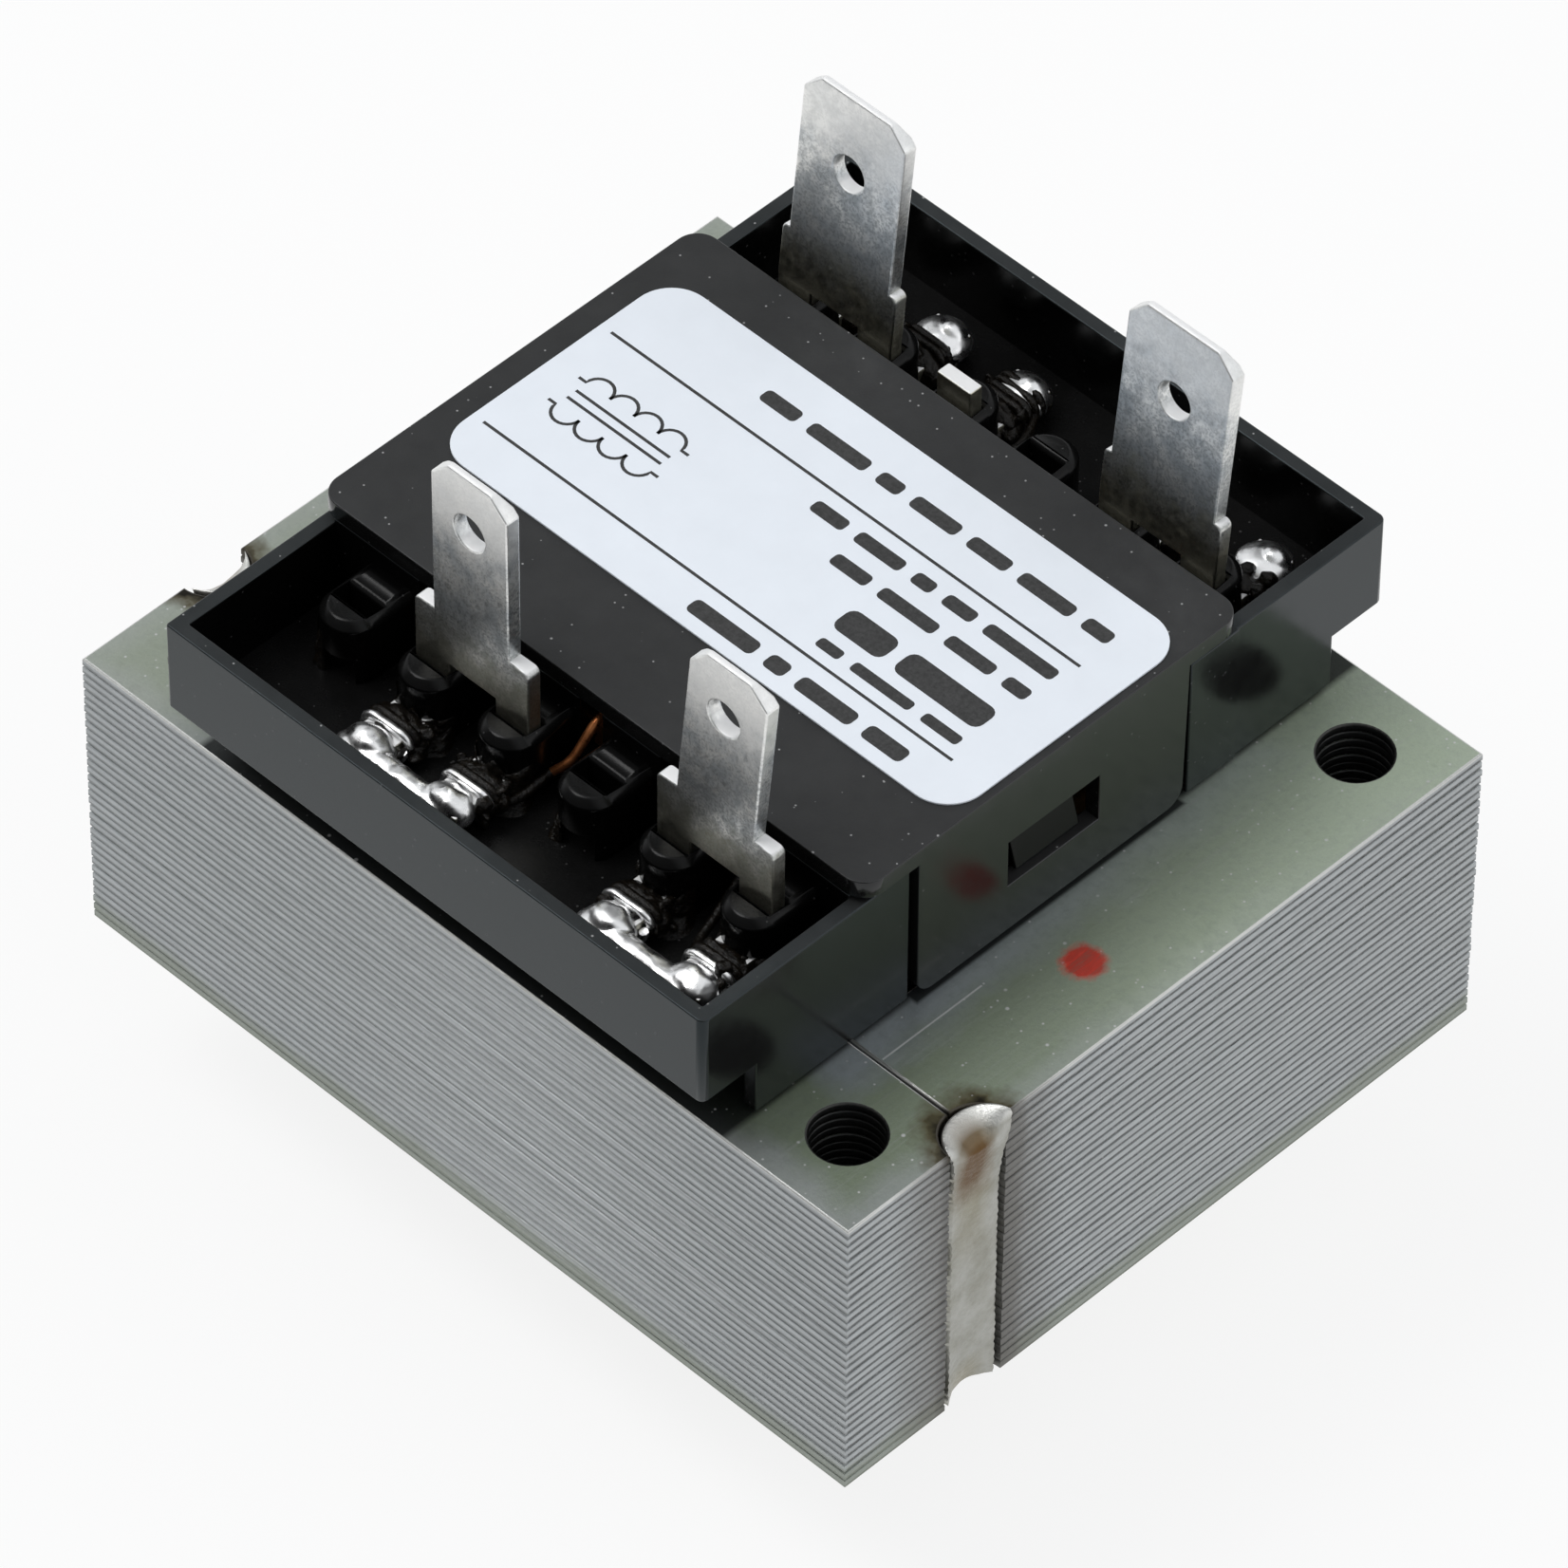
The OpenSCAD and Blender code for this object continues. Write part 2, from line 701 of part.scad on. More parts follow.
module secondary_tab_right() {
    color(tinned) mirror([0, 1, 0]) secondary_tab(secondary_right_post, secondary_set);
}

module link_pin() {
    x = post_x(link_index);
    half_w = tab_leg_w / 2;
    half_t = tab_t / 2;
    color(tinned) {
        leg(x);
        box([x - half_w, slot_y - half_t, body_z], [x + half_w, slot_y + half_t, post_z + link_pin_h]);
    }
}

module thermal_fuse() {
    color("#e8e2d0") translate([(gap_x(link_index) + gap_x(link_index + 1)) / 2, fuse_y, fuse_z])
        linear_extrude(fuse_h) rounded_rect(fuse_w, fuse_d, fuse_edge_r);
}

// Wire end that runs to one side of a tail and is wrapped round it
module wrapped_end(start, high_z, post, gap, side, wrap_start, d) {
    tail_side = post_x(post) + side * (tab_leg_w + d) / 2;
    wire(wire_route(start, high_z, gap_x(gap), tail_side, wrap_start + d / 2), d);
    wrap(post_x(post), wrap_start, d);
}

// First and second place for turns on a tail
first_wrap = wrap_y - primary_wire_d / 2;
second_wrap = first_wrap + wrap_turns * primary_wire_d + eps;

// Start of a route that leaves the fuse
function from_fuse(x) = [
    [x, fuse_y + fuse_d / 2, fuse_mid_z],
    [x, wire_exit_y, fuse_mid_z],
    [x, chamber_end, primary_wire_z]
];

module fuse_lead_link() {
    start = from_fuse(gap_x(link_index));
    color(tinned) wrapped_end(start, primary_wire_z, link_index, link_index, 1, second_wrap, primary_wire_d);
}

module fuse_lead_tab() {
    gap = link_index + 1;
    start = from_fuse(gap_x(gap));
    color(tinned) wrapped_end(start, primary_wire_z, primary_right_post, gap, -1, first_wrap, primary_wire_d);
}

module primary_lead_start() {
    gap = primary_left_post;
    start = rise(gap_x(gap), primary_top, primary_wire_z);
    color(copper)
        wrapped_end(start, primary_wire_z, primary_left_post + 1, gap, -1, first_wrap, primary_wire_d);
}

module primary_lead_end() {
    gap = link_index - 1;
    start = rise(gap_x(gap), primary_top, primary_wire_z);
    color(copper) wrapped_end(start, primary_wire_z, link_index, gap, -1, first_wrap, primary_wire_d);
}

// Secondary wire end, wrapped round both tails of its tab with a bar between them
module secondary_lead(first_post, gap, last_post, side) {
    d = secondary_wire_d;
    start = wrap_y - d / 2;
    bar_y = start + wrap_turns * (d - eps) - d / 2;
    route_start = rise(gap_x(gap), secondary_top, secondary_wire_z);
    wrapped_end(route_start, secondary_wire_z, last_post, gap, side, start, d);
    for (post = [first_post, first_post + 1]) wrap(post_x(post), start, d);
    strand([post_x(first_post) + (tab_leg_w + d) / 2, bar_y, tail_mid_z],
           [post_x(first_post + 1) - (tab_leg_w + d) / 2, bar_y, tail_mid_z], d);
}

module secondary_lead_left() {
    color(copper) mirror([0, 1, 0])
        secondary_lead(secondary_left_post, secondary_left_post + 1, secondary_left_post + 1, 1);
}

module secondary_lead_right() {
    color(copper) mirror([0, 1, 0])
        secondary_lead(secondary_right_post, secondary_right_post, secondary_right_post + 1, -1);
}

// Solder over the ends of tails, resting on the tray floor, towards +Y
module solder(first_post, count) {
    intersection() {
        for (i = [first_post : first_post + count - 1])
            translate([post_x(i), tail_end_y - solder_inset, tail_mid_z]) sphere(solder_r);
        box([-far, -far, floor_z], [far, far, far]);
    }
}

module primary_solder_left() {
    color("silver") difference() {
        solder(primary_left_post, 2);
        primary_tab_left();
        primary_lead_start();
    }
}

module primary_solder_right() {
    color("silver") difference() {
        solder(primary_right_post, 2);
        primary_tab_right();
        fuse_lead_tab();
    }
}

module link_solder() {
    color("silver") difference() {
        solder(link_index, 1);
        link_pin();
        primary_lead_end();
        fuse_lead_link();
    }
}

// Bridge of solder between the two tails of a secondary tab, towards +Y
module solder_bridge(first_post) {
    translate([post_x(first_post), tail_end_y - solder_inset, tail_mid_z])
        rotate([0, 90, 0]) cylinder(h = post_pitch, r = bridge_r);
}

module secondary_solder_left() {
    color("silver") difference() {
        mirror([0, 1, 0]) {
            solder(secondary_left_post, 2);
            solder_bridge(secondary_left_post);
        }
        secondary_tab_left();
        secondary_lead_left();
    }
}

module secondary_solder_right() {
    color("silver") difference() {
        mirror([0, 1, 0]) {
            solder(secondary_right_post, 2);
            solder_bridge(secondary_right_post);
        }
        secondary_tab_right();
        secondary_lead_right();
    }
}

e_stack();
i_stack();
weld_bead_left();
weld_bead_right();
coil_former();
coil_cover();
rating_label();
primary_winding();
secondary_winding();
primary_tape();
secondary_tape();
primary_tab_left();
primary_tab_right();
secondary_tab_left();
secondary_tab_right();
link_pin();
thermal_fuse();
fuse_lead_link();
fuse_lead_tab();
primary_lead_start();
primary_lead_end();
secondary_lead_left();
secondary_lead_right();
primary_solder_left();
primary_solder_right();
link_solder();
secondary_solder_left();
secondary_solder_right();
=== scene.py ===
"""Looks of a welded mains transformer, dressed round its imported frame.

Lengths are written in mm of the part's frame and become metres where a mesh is made.
"""
import math
import random
from collections import namedtuple

import bmesh
import bpy
from mathutils import Matrix, Vector, noise
from mathutils.geometry import tessellate_polygon


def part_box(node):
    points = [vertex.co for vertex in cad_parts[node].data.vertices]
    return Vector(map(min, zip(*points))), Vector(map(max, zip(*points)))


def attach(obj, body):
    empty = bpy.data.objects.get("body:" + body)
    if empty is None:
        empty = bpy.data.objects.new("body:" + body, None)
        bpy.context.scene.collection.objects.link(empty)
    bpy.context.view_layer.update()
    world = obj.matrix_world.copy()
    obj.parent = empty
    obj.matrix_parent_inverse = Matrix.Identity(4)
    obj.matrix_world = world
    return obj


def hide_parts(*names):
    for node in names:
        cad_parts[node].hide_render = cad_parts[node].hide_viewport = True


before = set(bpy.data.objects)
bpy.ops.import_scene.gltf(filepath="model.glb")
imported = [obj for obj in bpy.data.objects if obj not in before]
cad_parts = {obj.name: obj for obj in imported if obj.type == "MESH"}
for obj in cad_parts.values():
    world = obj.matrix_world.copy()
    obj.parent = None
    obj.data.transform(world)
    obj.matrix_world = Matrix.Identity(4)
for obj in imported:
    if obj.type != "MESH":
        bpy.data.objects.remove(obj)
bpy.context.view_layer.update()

# Without a seed, noise_vector gives other lumps of solder and resin at each run
noise.seed_set(7)

MM = 0.001
BODY = "root"

# Core
CORE_X = 24.0
CORE_Y = 20.0
CORE_LOW = 8.4
CORE_TOP = 25.4
SHEETS = 34
SHEET_T = 0.5
JOINT_Y = -12.0
JOINT_GAP = 0.12
WINDOW_Y = 12.0
WINDOW_X = 16.0
LEG_X = 8.0
GROOVE_R = 1.75
HOLE_R = 1.75
HOLE_AT = (20.0, 16.0)

# Trays, posts and tails, towards +Y
POSTS = [-12.5, -7.5, -2.5, 2.5, 7.5, 12.5]
POST_W = 3.0
POST_TOP = 33.15
FLOOR_Z = 29.5
TRAY_X = 16.5
TRAY_Y = 21.35
TRAY_R = 0.5
TRAY_WALL = 0.75
NOSE_Y = 14.15
TAIL_Z = 30.55
TAIL_W = 2.1
TAIL_T = 0.8
TAIL_END = 18.65

# Tabs: heights of the pale tip with its painted reflection, of the darkest place, where the rear tabs take
# painted shade, and of the stained foot under painted light
TAB_TIP = (40.5, 43.5)
TAB_MIDDLE = 38.2
TAB_FOOT = (37.0, 34.8)

# Label and its print; rows of bars as y, height, right-hand end, lengths
LABEL_TOP = 35.32
PRINT_LOW = LABEL_TOP - 0.01
PRINT_HIGH = LABEL_TOP + 0.008
STROKE_W = 0.16
RULES_Y = (-3.75, 4.2)
BAR_GAP = 0.7
BAR_ROWS = (
    (6.3, 0.8, 14.0, (1.6, 3.2, 2.4, 2.8, 1.4, 3.6, 2.2)),
    (3.0, 0.75, 13.8, (4.2, 1.8, 1.2, 2.8, 2.0)),
    (1.3, 0.75, 13.8, (1.4, 2.8, 3.4, 2.2)),
    (-1.0, 1.5, 13.6, (5.2, 3.0)),
    (-2.75, 0.6, 13.6, (2.2, 3.6, 1.4)),
    (-5.1, 0.9, 12.6, (2.4, 3.4, 1.2, 4.0)),
)
SYMBOL_Y = 0.25

# Cover: outer face and half length of its skirts
COVER_X = 16.8
SKIRT_Y = 8.45

# Mouldings: what is added at their left-hand ends
LONGER_LEFT = 0.32

# Marks on the top sheet: a dab of red paint, and a scratch along Y
DAB_AT = (20.2, -1.55)
SCRATCH_X = 18.04
SCRATCH_Y = -8.77
SCRATCH_HALF = 3.08

# Welds: rows of points up the shaft and over the head, and places across, from -1 to 1
BEAD_ROWS = 170
HEAD_ROWS = 22
BEAD_COLUMNS = 36
BEAD_LOW = CORE_LOW + 0.03
BEAD_NECK = CORE_TOP - 1.1
BEAD_PLACES = [-1 + 2 * c / BEAD_COLUMNS for c in range(BEAD_COLUMNS + 1)]

# Solder and resin: size of a cell where lumps fuse, rows and columns of points on a post
LUMP_VOXEL = 0.07
RESIN_ROWS = 26
RESIN_COLUMNS = 34

# Camera, solved from points of the photograph, with its roll in degrees
LENS = 304.8
CAMERA_AT = (284.755, -289.276, 453.398)
LOOK_AT = (3.477, -3.272, CORE_TOP)
ROLL = 0.458

# Order of the materials on a sheet of the core
COATED = 0
SHEARED = 1

# Order of the materials of the former
OUTSIDE = 0
INSIDE = 1

# Order of the materials of a wire end
BARE = 0
TINNED = 1
FLUXED = 2


# Meshes

def new_piece(name, bm, finishes, slot, *nodes, smooth_angle=35):
    """Piece from a bmesh in metres, which rides on the part and stands for the given nodes."""
    mesh = bpy.data.meshes.new(name)
    bm.to_mesh(mesh)
    bm.free()
    piece = bpy.data.objects.new(name, mesh)
    bpy.context.scene.collection.objects.link(piece)
    for finish in finishes:
        mesh.materials.append(finish)
    mesh.shade_smooth()
    mesh.set_sharp_from_angle(angle=math.radians(smooth_angle))
    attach(piece, BODY)
    if nodes:
        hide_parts(*nodes)
    return piece


def narrow(edge, limit):
    """Whether a face beside the edge is too narrow to take a rounding."""
    middle = (edge.verts[0].co + edge.verts[1].co) / 2
    along = (edge.verts[1].co - edge.verts[0].co).normalized()
    for face in edge.link_faces:
        across = face.normal.cross(along)
        reach = max(abs((vert.co - middle).dot(across)) for vert in face.verts)
        if reach < limit:
            return True
    return False


def rounded_edges(bm, width, segments, wanted):
    """Round the convex edges that a test picks, where the faces beside them are wide enough."""
    chosen = []
    for edge in bm.edges:
        if edge.is_manifold and edge.is_convex and wanted(edge) and not narrow(edge, 2.2 * width * MM):
            chosen.append(edge)
    bmesh.ops.bevel(bm, geom=chosen, offset=width * MM, segments=segments, profile=0.5,
                    affect="EDGES", clamp_overlap=False)


def is_sharp(edge):
    """Whether an edge is a corner and not part of a curve."""
    return edge.calc_face_angle() > math.radians(30)


def is_post_edge(edge):
    """Whether an edge belongs to the chamfer round the top of a post."""
    ends = [vert.co / MM for vert in edge.verts]
    high = min(end.z for end in ends) > POST_TOP - 0.6
    inside = max(abs(end.y) for end in ends) < NOSE_Y + POST_W / 2 + 0.1
    return high and inside and 0.5 < edge.calc_face_angle() < 1.1


def softened(node, width, finishes, slot, segments=2, shape=None, first=None, choose=None):
    """Copy of a CAD node with rounded edges.

    shape moves its points, first is a rounding made before the main one, choose gives a face its material.
    """
    bm = bmesh.new()
    bm.from_mesh(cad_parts[node].data)
    if shape:
        for vert in bm.verts:
            vert.co = shape(vert.co / MM) * MM
    bmesh.ops.remove_doubles(bm, verts=bm.verts, dist=1e-6)
    bmesh.ops.dissolve_limit(bm, angle_limit=math.radians(0.5), verts=bm.verts, edges=bm.edges)
    if first:
        rounded_edges(bm, *first)
    rounded_edges(bm, width, segments, is_sharp)
    if choose:
        for face in bm.faces:
            face.material_index = choose(face.calc_center_median() / MM)
    piece = new_piece(node + "_soft", bm, finishes, slot, node)
    piece.modifiers.new("flat_faces", "WEIGHTED_NORMAL").keep_sharp = True


def evaluated(piece):
    """Put the result of a piece's modifiers into its mesh."""
    bpy.context.view_layer.update()
    graph = bpy.context.evaluated_depsgraph_get()
    mesh = bpy.data.meshes.new_from_object(piece.evaluated_get(graph))
    piece.modifiers.clear()
    piece.data = mesh


def arc(x, y, r, start, end, steps):
    """Points of an arc, angles in degrees."""
    angles = [math.radians(start + (end - start) * i / steps) for i in range(steps + 1)]
    return [(x + r * math.cos(a), y + r * math.sin(a)) for a in angles]


def inset(loop, depth):
    """Closed loop moved into the material, which lies on its left."""
    moved = []
    for i, point in enumerate(loop):
        here = Vector(point)
        ahead = (Vector(loop[(i + 1) % len(loop)]) - here).normalized()
        back = (here - Vector(loop[i - 1])).normalized()
        left = Vector((-ahead.y, ahead.x))
        before = Vector((-back.y, back.x))
        moved.append(here + (left + before) * (depth / max(1 + left.dot(before), 0.3)))
    return moved


def smooth_path(points, steps):
    """Catmull-Rom curve through points."""
    points = [Vector(p) for p in points]
    ends = [2 * points[0] - points[1]] + points + [2 * points[-1] - points[-2]]
    path = []
    for a, b, c, d in zip(ends, ends[1:], ends[2:], ends[3:]):
        for i in range(steps):
            t = i / steps
            path.append(0.5 * (2 * b + (c - a) * t + (2 * a - 5 * b + 4 * c - d) * t * t
                               + (3 * b - a - 3 * c + d) * t ** 3))
    return path + [points[-1]]


def join_rows(bm, lower, upper):
    """Strip of faces between two rows of points."""
    for around in zip(lower, lower[1:], upper[1:], upper):
        bm.faces.new(around)


def join_rings(bm, lower, upper, index=0):
    """Wall between two closed rings of points, with one of its piece's materials."""
    for i in range(len(lower)):
        j = (i + 1) % len(lower)
        bm.faces.new((lower[i], lower[j], upper[j], upper[i])).material_index = index


def add_tube(bm, path, radius, sides, index):
    """Round wire along a path in mm, closed at both ends, with one of its piece's materials."""
    path = [Vector(p) for p in path]
    heading = (path[1] - path[0]).normalized()
    side = heading.orthogonal().normalized()
    rings = []
    for i, point in enumerate(path):
        heading = (path[min(i + 1, len(path) - 1)] - path[max(i - 1, 0)]).normalized()
        side = (side - heading * side.dot(heading)).normalized()
        up = heading.cross(side)
        ring = []
        for k in range(sides):
            a = 2 * math.pi * k / sides
            ring.append(bm.verts.new((point + (side * math.cos(a) + up * math.sin(a)) * radius) * MM))
        rings.append(ring)
    for lower, upper in zip(rings, rings[1:]):
        join_rings(bm, lower, upper, index)
    bm.faces.new(rings[0][::-1]).material_index = index
    bm.faces.new(rings[-1]).material_index = index


def lump(name, balls, finish, *nodes, rounds, wobble, grain=1.6):
    """Metal or resin that has run together: balls as (centre, radii), fused and smoothed."""
    bm = bmesh.new()
    for centre, radii in balls:
        place = Matrix.Translation(Vector(centre) * MM) @ Matrix.Diagonal(Vector(radii) * MM).to_4x4()
        bmesh.ops.create_icosphere(bm, subdivisions=3, radius=1, matrix=place)
    piece = new_piece(name, bm, [finish], "solder", *nodes, smooth_angle=180)
    remesh = piece.modifiers.new("fuse", "REMESH")
    remesh.mode = "VOXEL"
    remesh.voxel_size = LUMP_VOXEL * MM
    remesh.use_smooth_shade = True
    smooth = piece.modifiers.new("flow", "SMOOTH")
    smooth.factor = 0.5
    smooth.iterations = rounds
    evaluated(piece)
    for vert in piece.data.vertices:
        shake = noise.noise_vector(vert.co / MM * grain)
        vert.co += shake * wobble * MM


# Materials

def feed(tree, socket, value):
    """Link a node's output to a socket, or set the socket's own value."""
    if isinstance(value, bpy.types.NodeSocket):
        tree.links.new(value, socket)
    else:
        socket.default_value = value


def add_node(tree, kind, inputs=None, **settings):
    """New shader node with its settings and inputs."""
    node = tree.nodes.new("ShaderNode" + kind)
    for key, value in settings.items():
        setattr(node, key, value)
    for key, value in (inputs or {}).items():
        feed(tree, node.inputs[key], value)
    return node


class Finish:
    """One procedural material, with its patterns laid out in mm of the part's frame."""

    def __init__(self, name, **constants):
        self.material = bpy.data.materials.new(name)
        self.material.use_nodes = True
        self.tree = self.material.node_tree
        self.bsdf = self.tree.nodes["Principled BSDF"]
        place = self.add("TexCoord").outputs["Object"]
        self.mm = self.add("Mapping", {"Vector": place, "Scale": (1 / MM, 1 / MM, 1 / MM)}).outputs[0]
        split = self.add("SeparateXYZ", {"Vector": self.mm})
        self.x, self.y, self.z = split.outputs
        for key, value in constants.items():
            self.set(key.replace("_", " "), value)

    def add(self, kind, inputs=None, **settings):
        """New node of this material."""
        return add_node(self.tree, kind, inputs, **settings)

    def set(self, key, value):
        """Give one of the shader's own sockets a value or a link."""
        feed(self.tree, self.bsdf.inputs[key], value)

    def mix(self, factor, a, b):
        """Colour between two colours."""
        return self.add("Mix", {0: factor, 6: a, 7: b}, data_type="RGBA").outputs[2]

    def math(self, operation, a, b=0.0):
        """Result of a sum on one or two values."""
        return self.add("Math", {0: a, 1: b}, operation=operation).outputs[0]

    def times(self, a, b):
        return self.math("MULTIPLY", a, b)

    def plus(self, a, b):
        return self.math("ADD", a, b)

    def minus(self, a, b):
        return self.math("SUBTRACT", a, b)

    def most(self, a, b):
        return self.math("MAXIMUM", a, b)

    def size(self, a):
        return self.math("ABSOLUTE", a)

    def span(self, value, low, high, to_low=0.0, to_high=1.0):
        """Value from to_low to to_high as another goes from low to high."""
        return self.add("MapRange", {0: value, 1: low, 2: high, 3: to_low, 4: to_high}).outputs[0]

    def stretch(self, scale):
        """Place in mm, scaled by axis."""
        return self.add("Mapping", {"Vector": self.mm, "Scale": scale}).outputs[0]

    def noise(self, scale, detail=2.0, rough=0.5, vector=None):
        """Cloudy value from 0 to 1, with about scale features to the mm."""
        inputs = {"Vector": vector or self.mm, "Scale": scale, "Detail": detail, "Roughness": rough}
        return self.add("TexNoise", inputs).outputs[0]

    def tones(self, pattern, dark, light, low=0.3, high=0.7):
        """Base colour that goes from dark to light with a pattern."""
        self.set("Base Color", self.mix(self.span(pattern, low, high), dark, light))

    def rough(self, pattern, low, high):
        """Roughness that goes from low to high with a pattern."""
        self.set("Roughness", self.span(pattern, 0.3, 0.7, low, high))

    def specks(self, scale, size, share):
        """Scattered small spots: one in some of the cells."""
        cells = self.add("TexVoronoi", {"Vector": self.mm, "Scale": scale})
        pick = self.add("SeparateColor", {"Color": cells.outputs["Color"]}).outputs[0]
        chosen = self.math("GREATER_THAN", pick, 1 - share)
        spot = self.span(cells.outputs["Distance"], size, size * 0.5)
        return self.times(chosen, spot)

    def up(self):
        """How far a face looks up or down."""
        normal = self.add("NewGeometry").outputs["Normal"]
        return self.size(self.add("SeparateXYZ", {"Vector": normal}).outputs["Z"])

    def bump(self, height, distance, strength=1.0):
        """Raise the surface by a value, distance in mm."""
        node = self.add("Bump", {"Height": height, "Distance": distance * MM, "Strength": strength})
        self.set("Normal", node.outputs[0])


def grey(level, tint=(1.0, 1.0, 1.0)):
    """Grey of a level, with a tint."""
    return (level * tint[0], level * tint[1], level * tint[2], 1.0)


def distance_from(f, x, y):
    """Distance from an upright line."""
    dx = f.minus(f.x, x)
    dy = f.minus(f.y, y)
    return f.math("SQRT", f.plus(f.times(dx, dx), f.times(dy, dy)))


def weld_distance(f):
    """Distance from the nearer weld."""
    return f.math("MINIMUM", distance_from(f, CORE_X, JOINT_Y), distance_from(f, -CORE_X, JOINT_Y))


def coat_colour(f, mottle, streak):
    """Pale along the edges, olive further in, bluish beside the coil, paler past the left end, and
    brightened by painted light towards the far right corner.
    """
    edge_x = f.minus(CORE_X, f.size(f.x))
    edge_y = f.minus(CORE_Y, f.size(f.y))
    edge = f.math("MINIMUM", edge_x, edge_y)
    cloud = f.noise(0.3, 4, 0.6)
    wander = f.plus(edge, f.times(f.minus(cloud, 0.5), 3))
    base = f.mix(f.span(wander, 0.3, 1.7), grey(0.4, (0.93, 1, 0.95)), grey(0.31, (0.84, 1, 0.72)))
    base = f.mix(f.span(wander, 4.8, 6.6), base, grey(0.4, (0.9, 1, 1.04)))
    # Painted light: the coat grows paler towards the far right corner.
    painted_light_far = f.plus(f.x, f.times(f.y, 0.6))
    base = f.mix(f.span(painted_light_far, 12, 30, 0, 0.85), base, grey(0.64, (0.86, 1, 0.78)))
    base = f.mix(f.span(f.x, -16.5, -20, 0, 0.5), base, grey(0.66, (0.92, 1, 0.86)))
    base = f.mix(f.span(mottle, 0.45, 0.7, 0, 0.3), base, grey(0.15, (0.86, 1, 0.92)))
    return f.mix(f.span(streak, 0.57, 0.74, 0, 0.3), base, grey(0.46, (0.97, 1, 0.98)))


def heat_tint(f, base):
    """A colour with brown and then soot round the welds."""
    near = f.plus(weld_distance(f), f.times(f.noise(0.8, 3, 0.6), 2))
    base = f.mix(f.span(near, 4.2, 3.2, 0, 0.85), base, grey(0.09, (1, 0.72, 0.24)))
    return f.mix(f.span(near, 3.3, 2.8, 0, 0.95), base, grey(0.01, (1, 0.8, 0.5)))


def under_coil(f):
    """Where the trays and the skirts of the cover stand over the core, where the top sheet takes painted
    shade.
    """
    trays = f.span(f.size(f.x), TRAY_X + 0.1, TRAY_X - 0.3)
    past_skirt = f.minus(f.size(f.x), COVER_X)
    past_end = f.minus(f.size(f.y), SKIRT_Y)
    skirts = f.span(f.most(past_skirt, past_end), 0.1, -0.1)
    return f.most(trays, skirts)


def paint_dab(f, brush):
    """Where the paint lies: a round dab with a ragged rim, brushed thin."""
    rag = f.times(f.minus(f.noise(1.8, 4, 0.7), 0.5), 0.7)
    dab = f.span(f.plus(distance_from(f, *DAB_AT), rag), 1.25, 0.8)
    return f.times(dab, f.span(brush, 0.32, 0.5, 0.88, 1))


def scratch_line(f):
    """Where the scratch runs."""
    line = f.span(f.size(f.minus(f.x, SCRATCH_X)), 0.06, 0.03)
    along = f.size(f.minus(f.y, SCRATCH_Y))
    return f.times(line, f.math("LESS_THAN", along, SCRATCH_HALF))


def coated_steel():
    """Coated, dusty sheet; the top one has painted shade under the trays and skirts, a scratch and a dab of
    red paint.
    """
    f = Finish("coated_steel")
    mottle = f.noise(1.5, 5, 0.68)
    streak = f.noise(1, 4, 0.65, f.stretch((3.4, 0.1, 1)))
    base = heat_tint(f, coat_colour(f, mottle, streak))
    top = f.math("GREATER_THAN", f.z, CORE_TOP - SHEET_T / 2)
    # Painted shade: the top sheet turns nearly black under the trays and the skirts of the cover.
    shade_under_coil = f.times(under_coil(f), top)
    base = f.mix(f.times(shade_under_coil, 0.9), base, grey(0.015, (0.9, 1, 1.1)))
    dust = f.most(f.specks(2.6, 0.2, 0.22), f.specks(1.1, 0.13, 0.3))
    base = f.mix(f.times(dust, 0.75), base, grey(0.8))
    scratch = f.times(scratch_line(f), top)
    base = f.mix(f.times(scratch, 0.7), base, grey(0.85))
    brush = f.noise(1, 4, 0.65, f.stretch((4, 0.7, 1)))
    dab = f.times(paint_dab(f, brush), top)
    red = f.mix(f.span(brush, 0.35, 0.65), (0.34, 0.03, 0.018, 1), (0.56, 0.05, 0.03, 1))
    f.set("Base Color", f.mix(dab, base, red))
    f.set("Metallic", f.span(dab, 0, 1, 0.58, 0))
    f.rough(mottle, 0.3, 0.46)
    f.bump(f.plus(f.noise(3.5, 4, 0.7), f.times(streak, 0.5)), 0.012)
    return f.material


def sheared_stripes(f, ragged):
    """On each sheet a bright sheared band over a dark torn one, softer on the long sides."""
    level = f.math("DIVIDE", f.minus(f.z, CORE_LOW), SHEET_T)
    phase = f.math("FRACT", f.plus(level, f.times(ragged, 0.16)))
    torn = f.span(phase, 0.52, 0.34)
    sheet = f.math("FLOOR", level)
    per_sheet = f.add("TexWhiteNoise", {"W": sheet}, noise_dimensions="1D").outputs["Value"]
    bright = f.mix(per_sheet, grey(0.42, (0.95, 1, 1.02)), grey(0.46, (0.95, 1, 1.02)))
    patch = f.noise(1, 4, 0.65, f.stretch((0.5, 0.5, 1.6)))
    base = f.mix(f.span(patch, 0.4, 0.68, 0, 0.3), bright, grey(0.27, (0.95, 1, 1)))
    long_side = f.math("GREATER_THAN", f.size(f.y), CORE_Y - 0.15)
    depth = f.times(f.span(patch, 0.3, 0.7, 0.95, 0.8), f.span(long_side, 0, 1, 1, 0.58))
    return f.mix(f.times(torn, depth), base, grey(0.07, (0.96, 1, 0.98)))


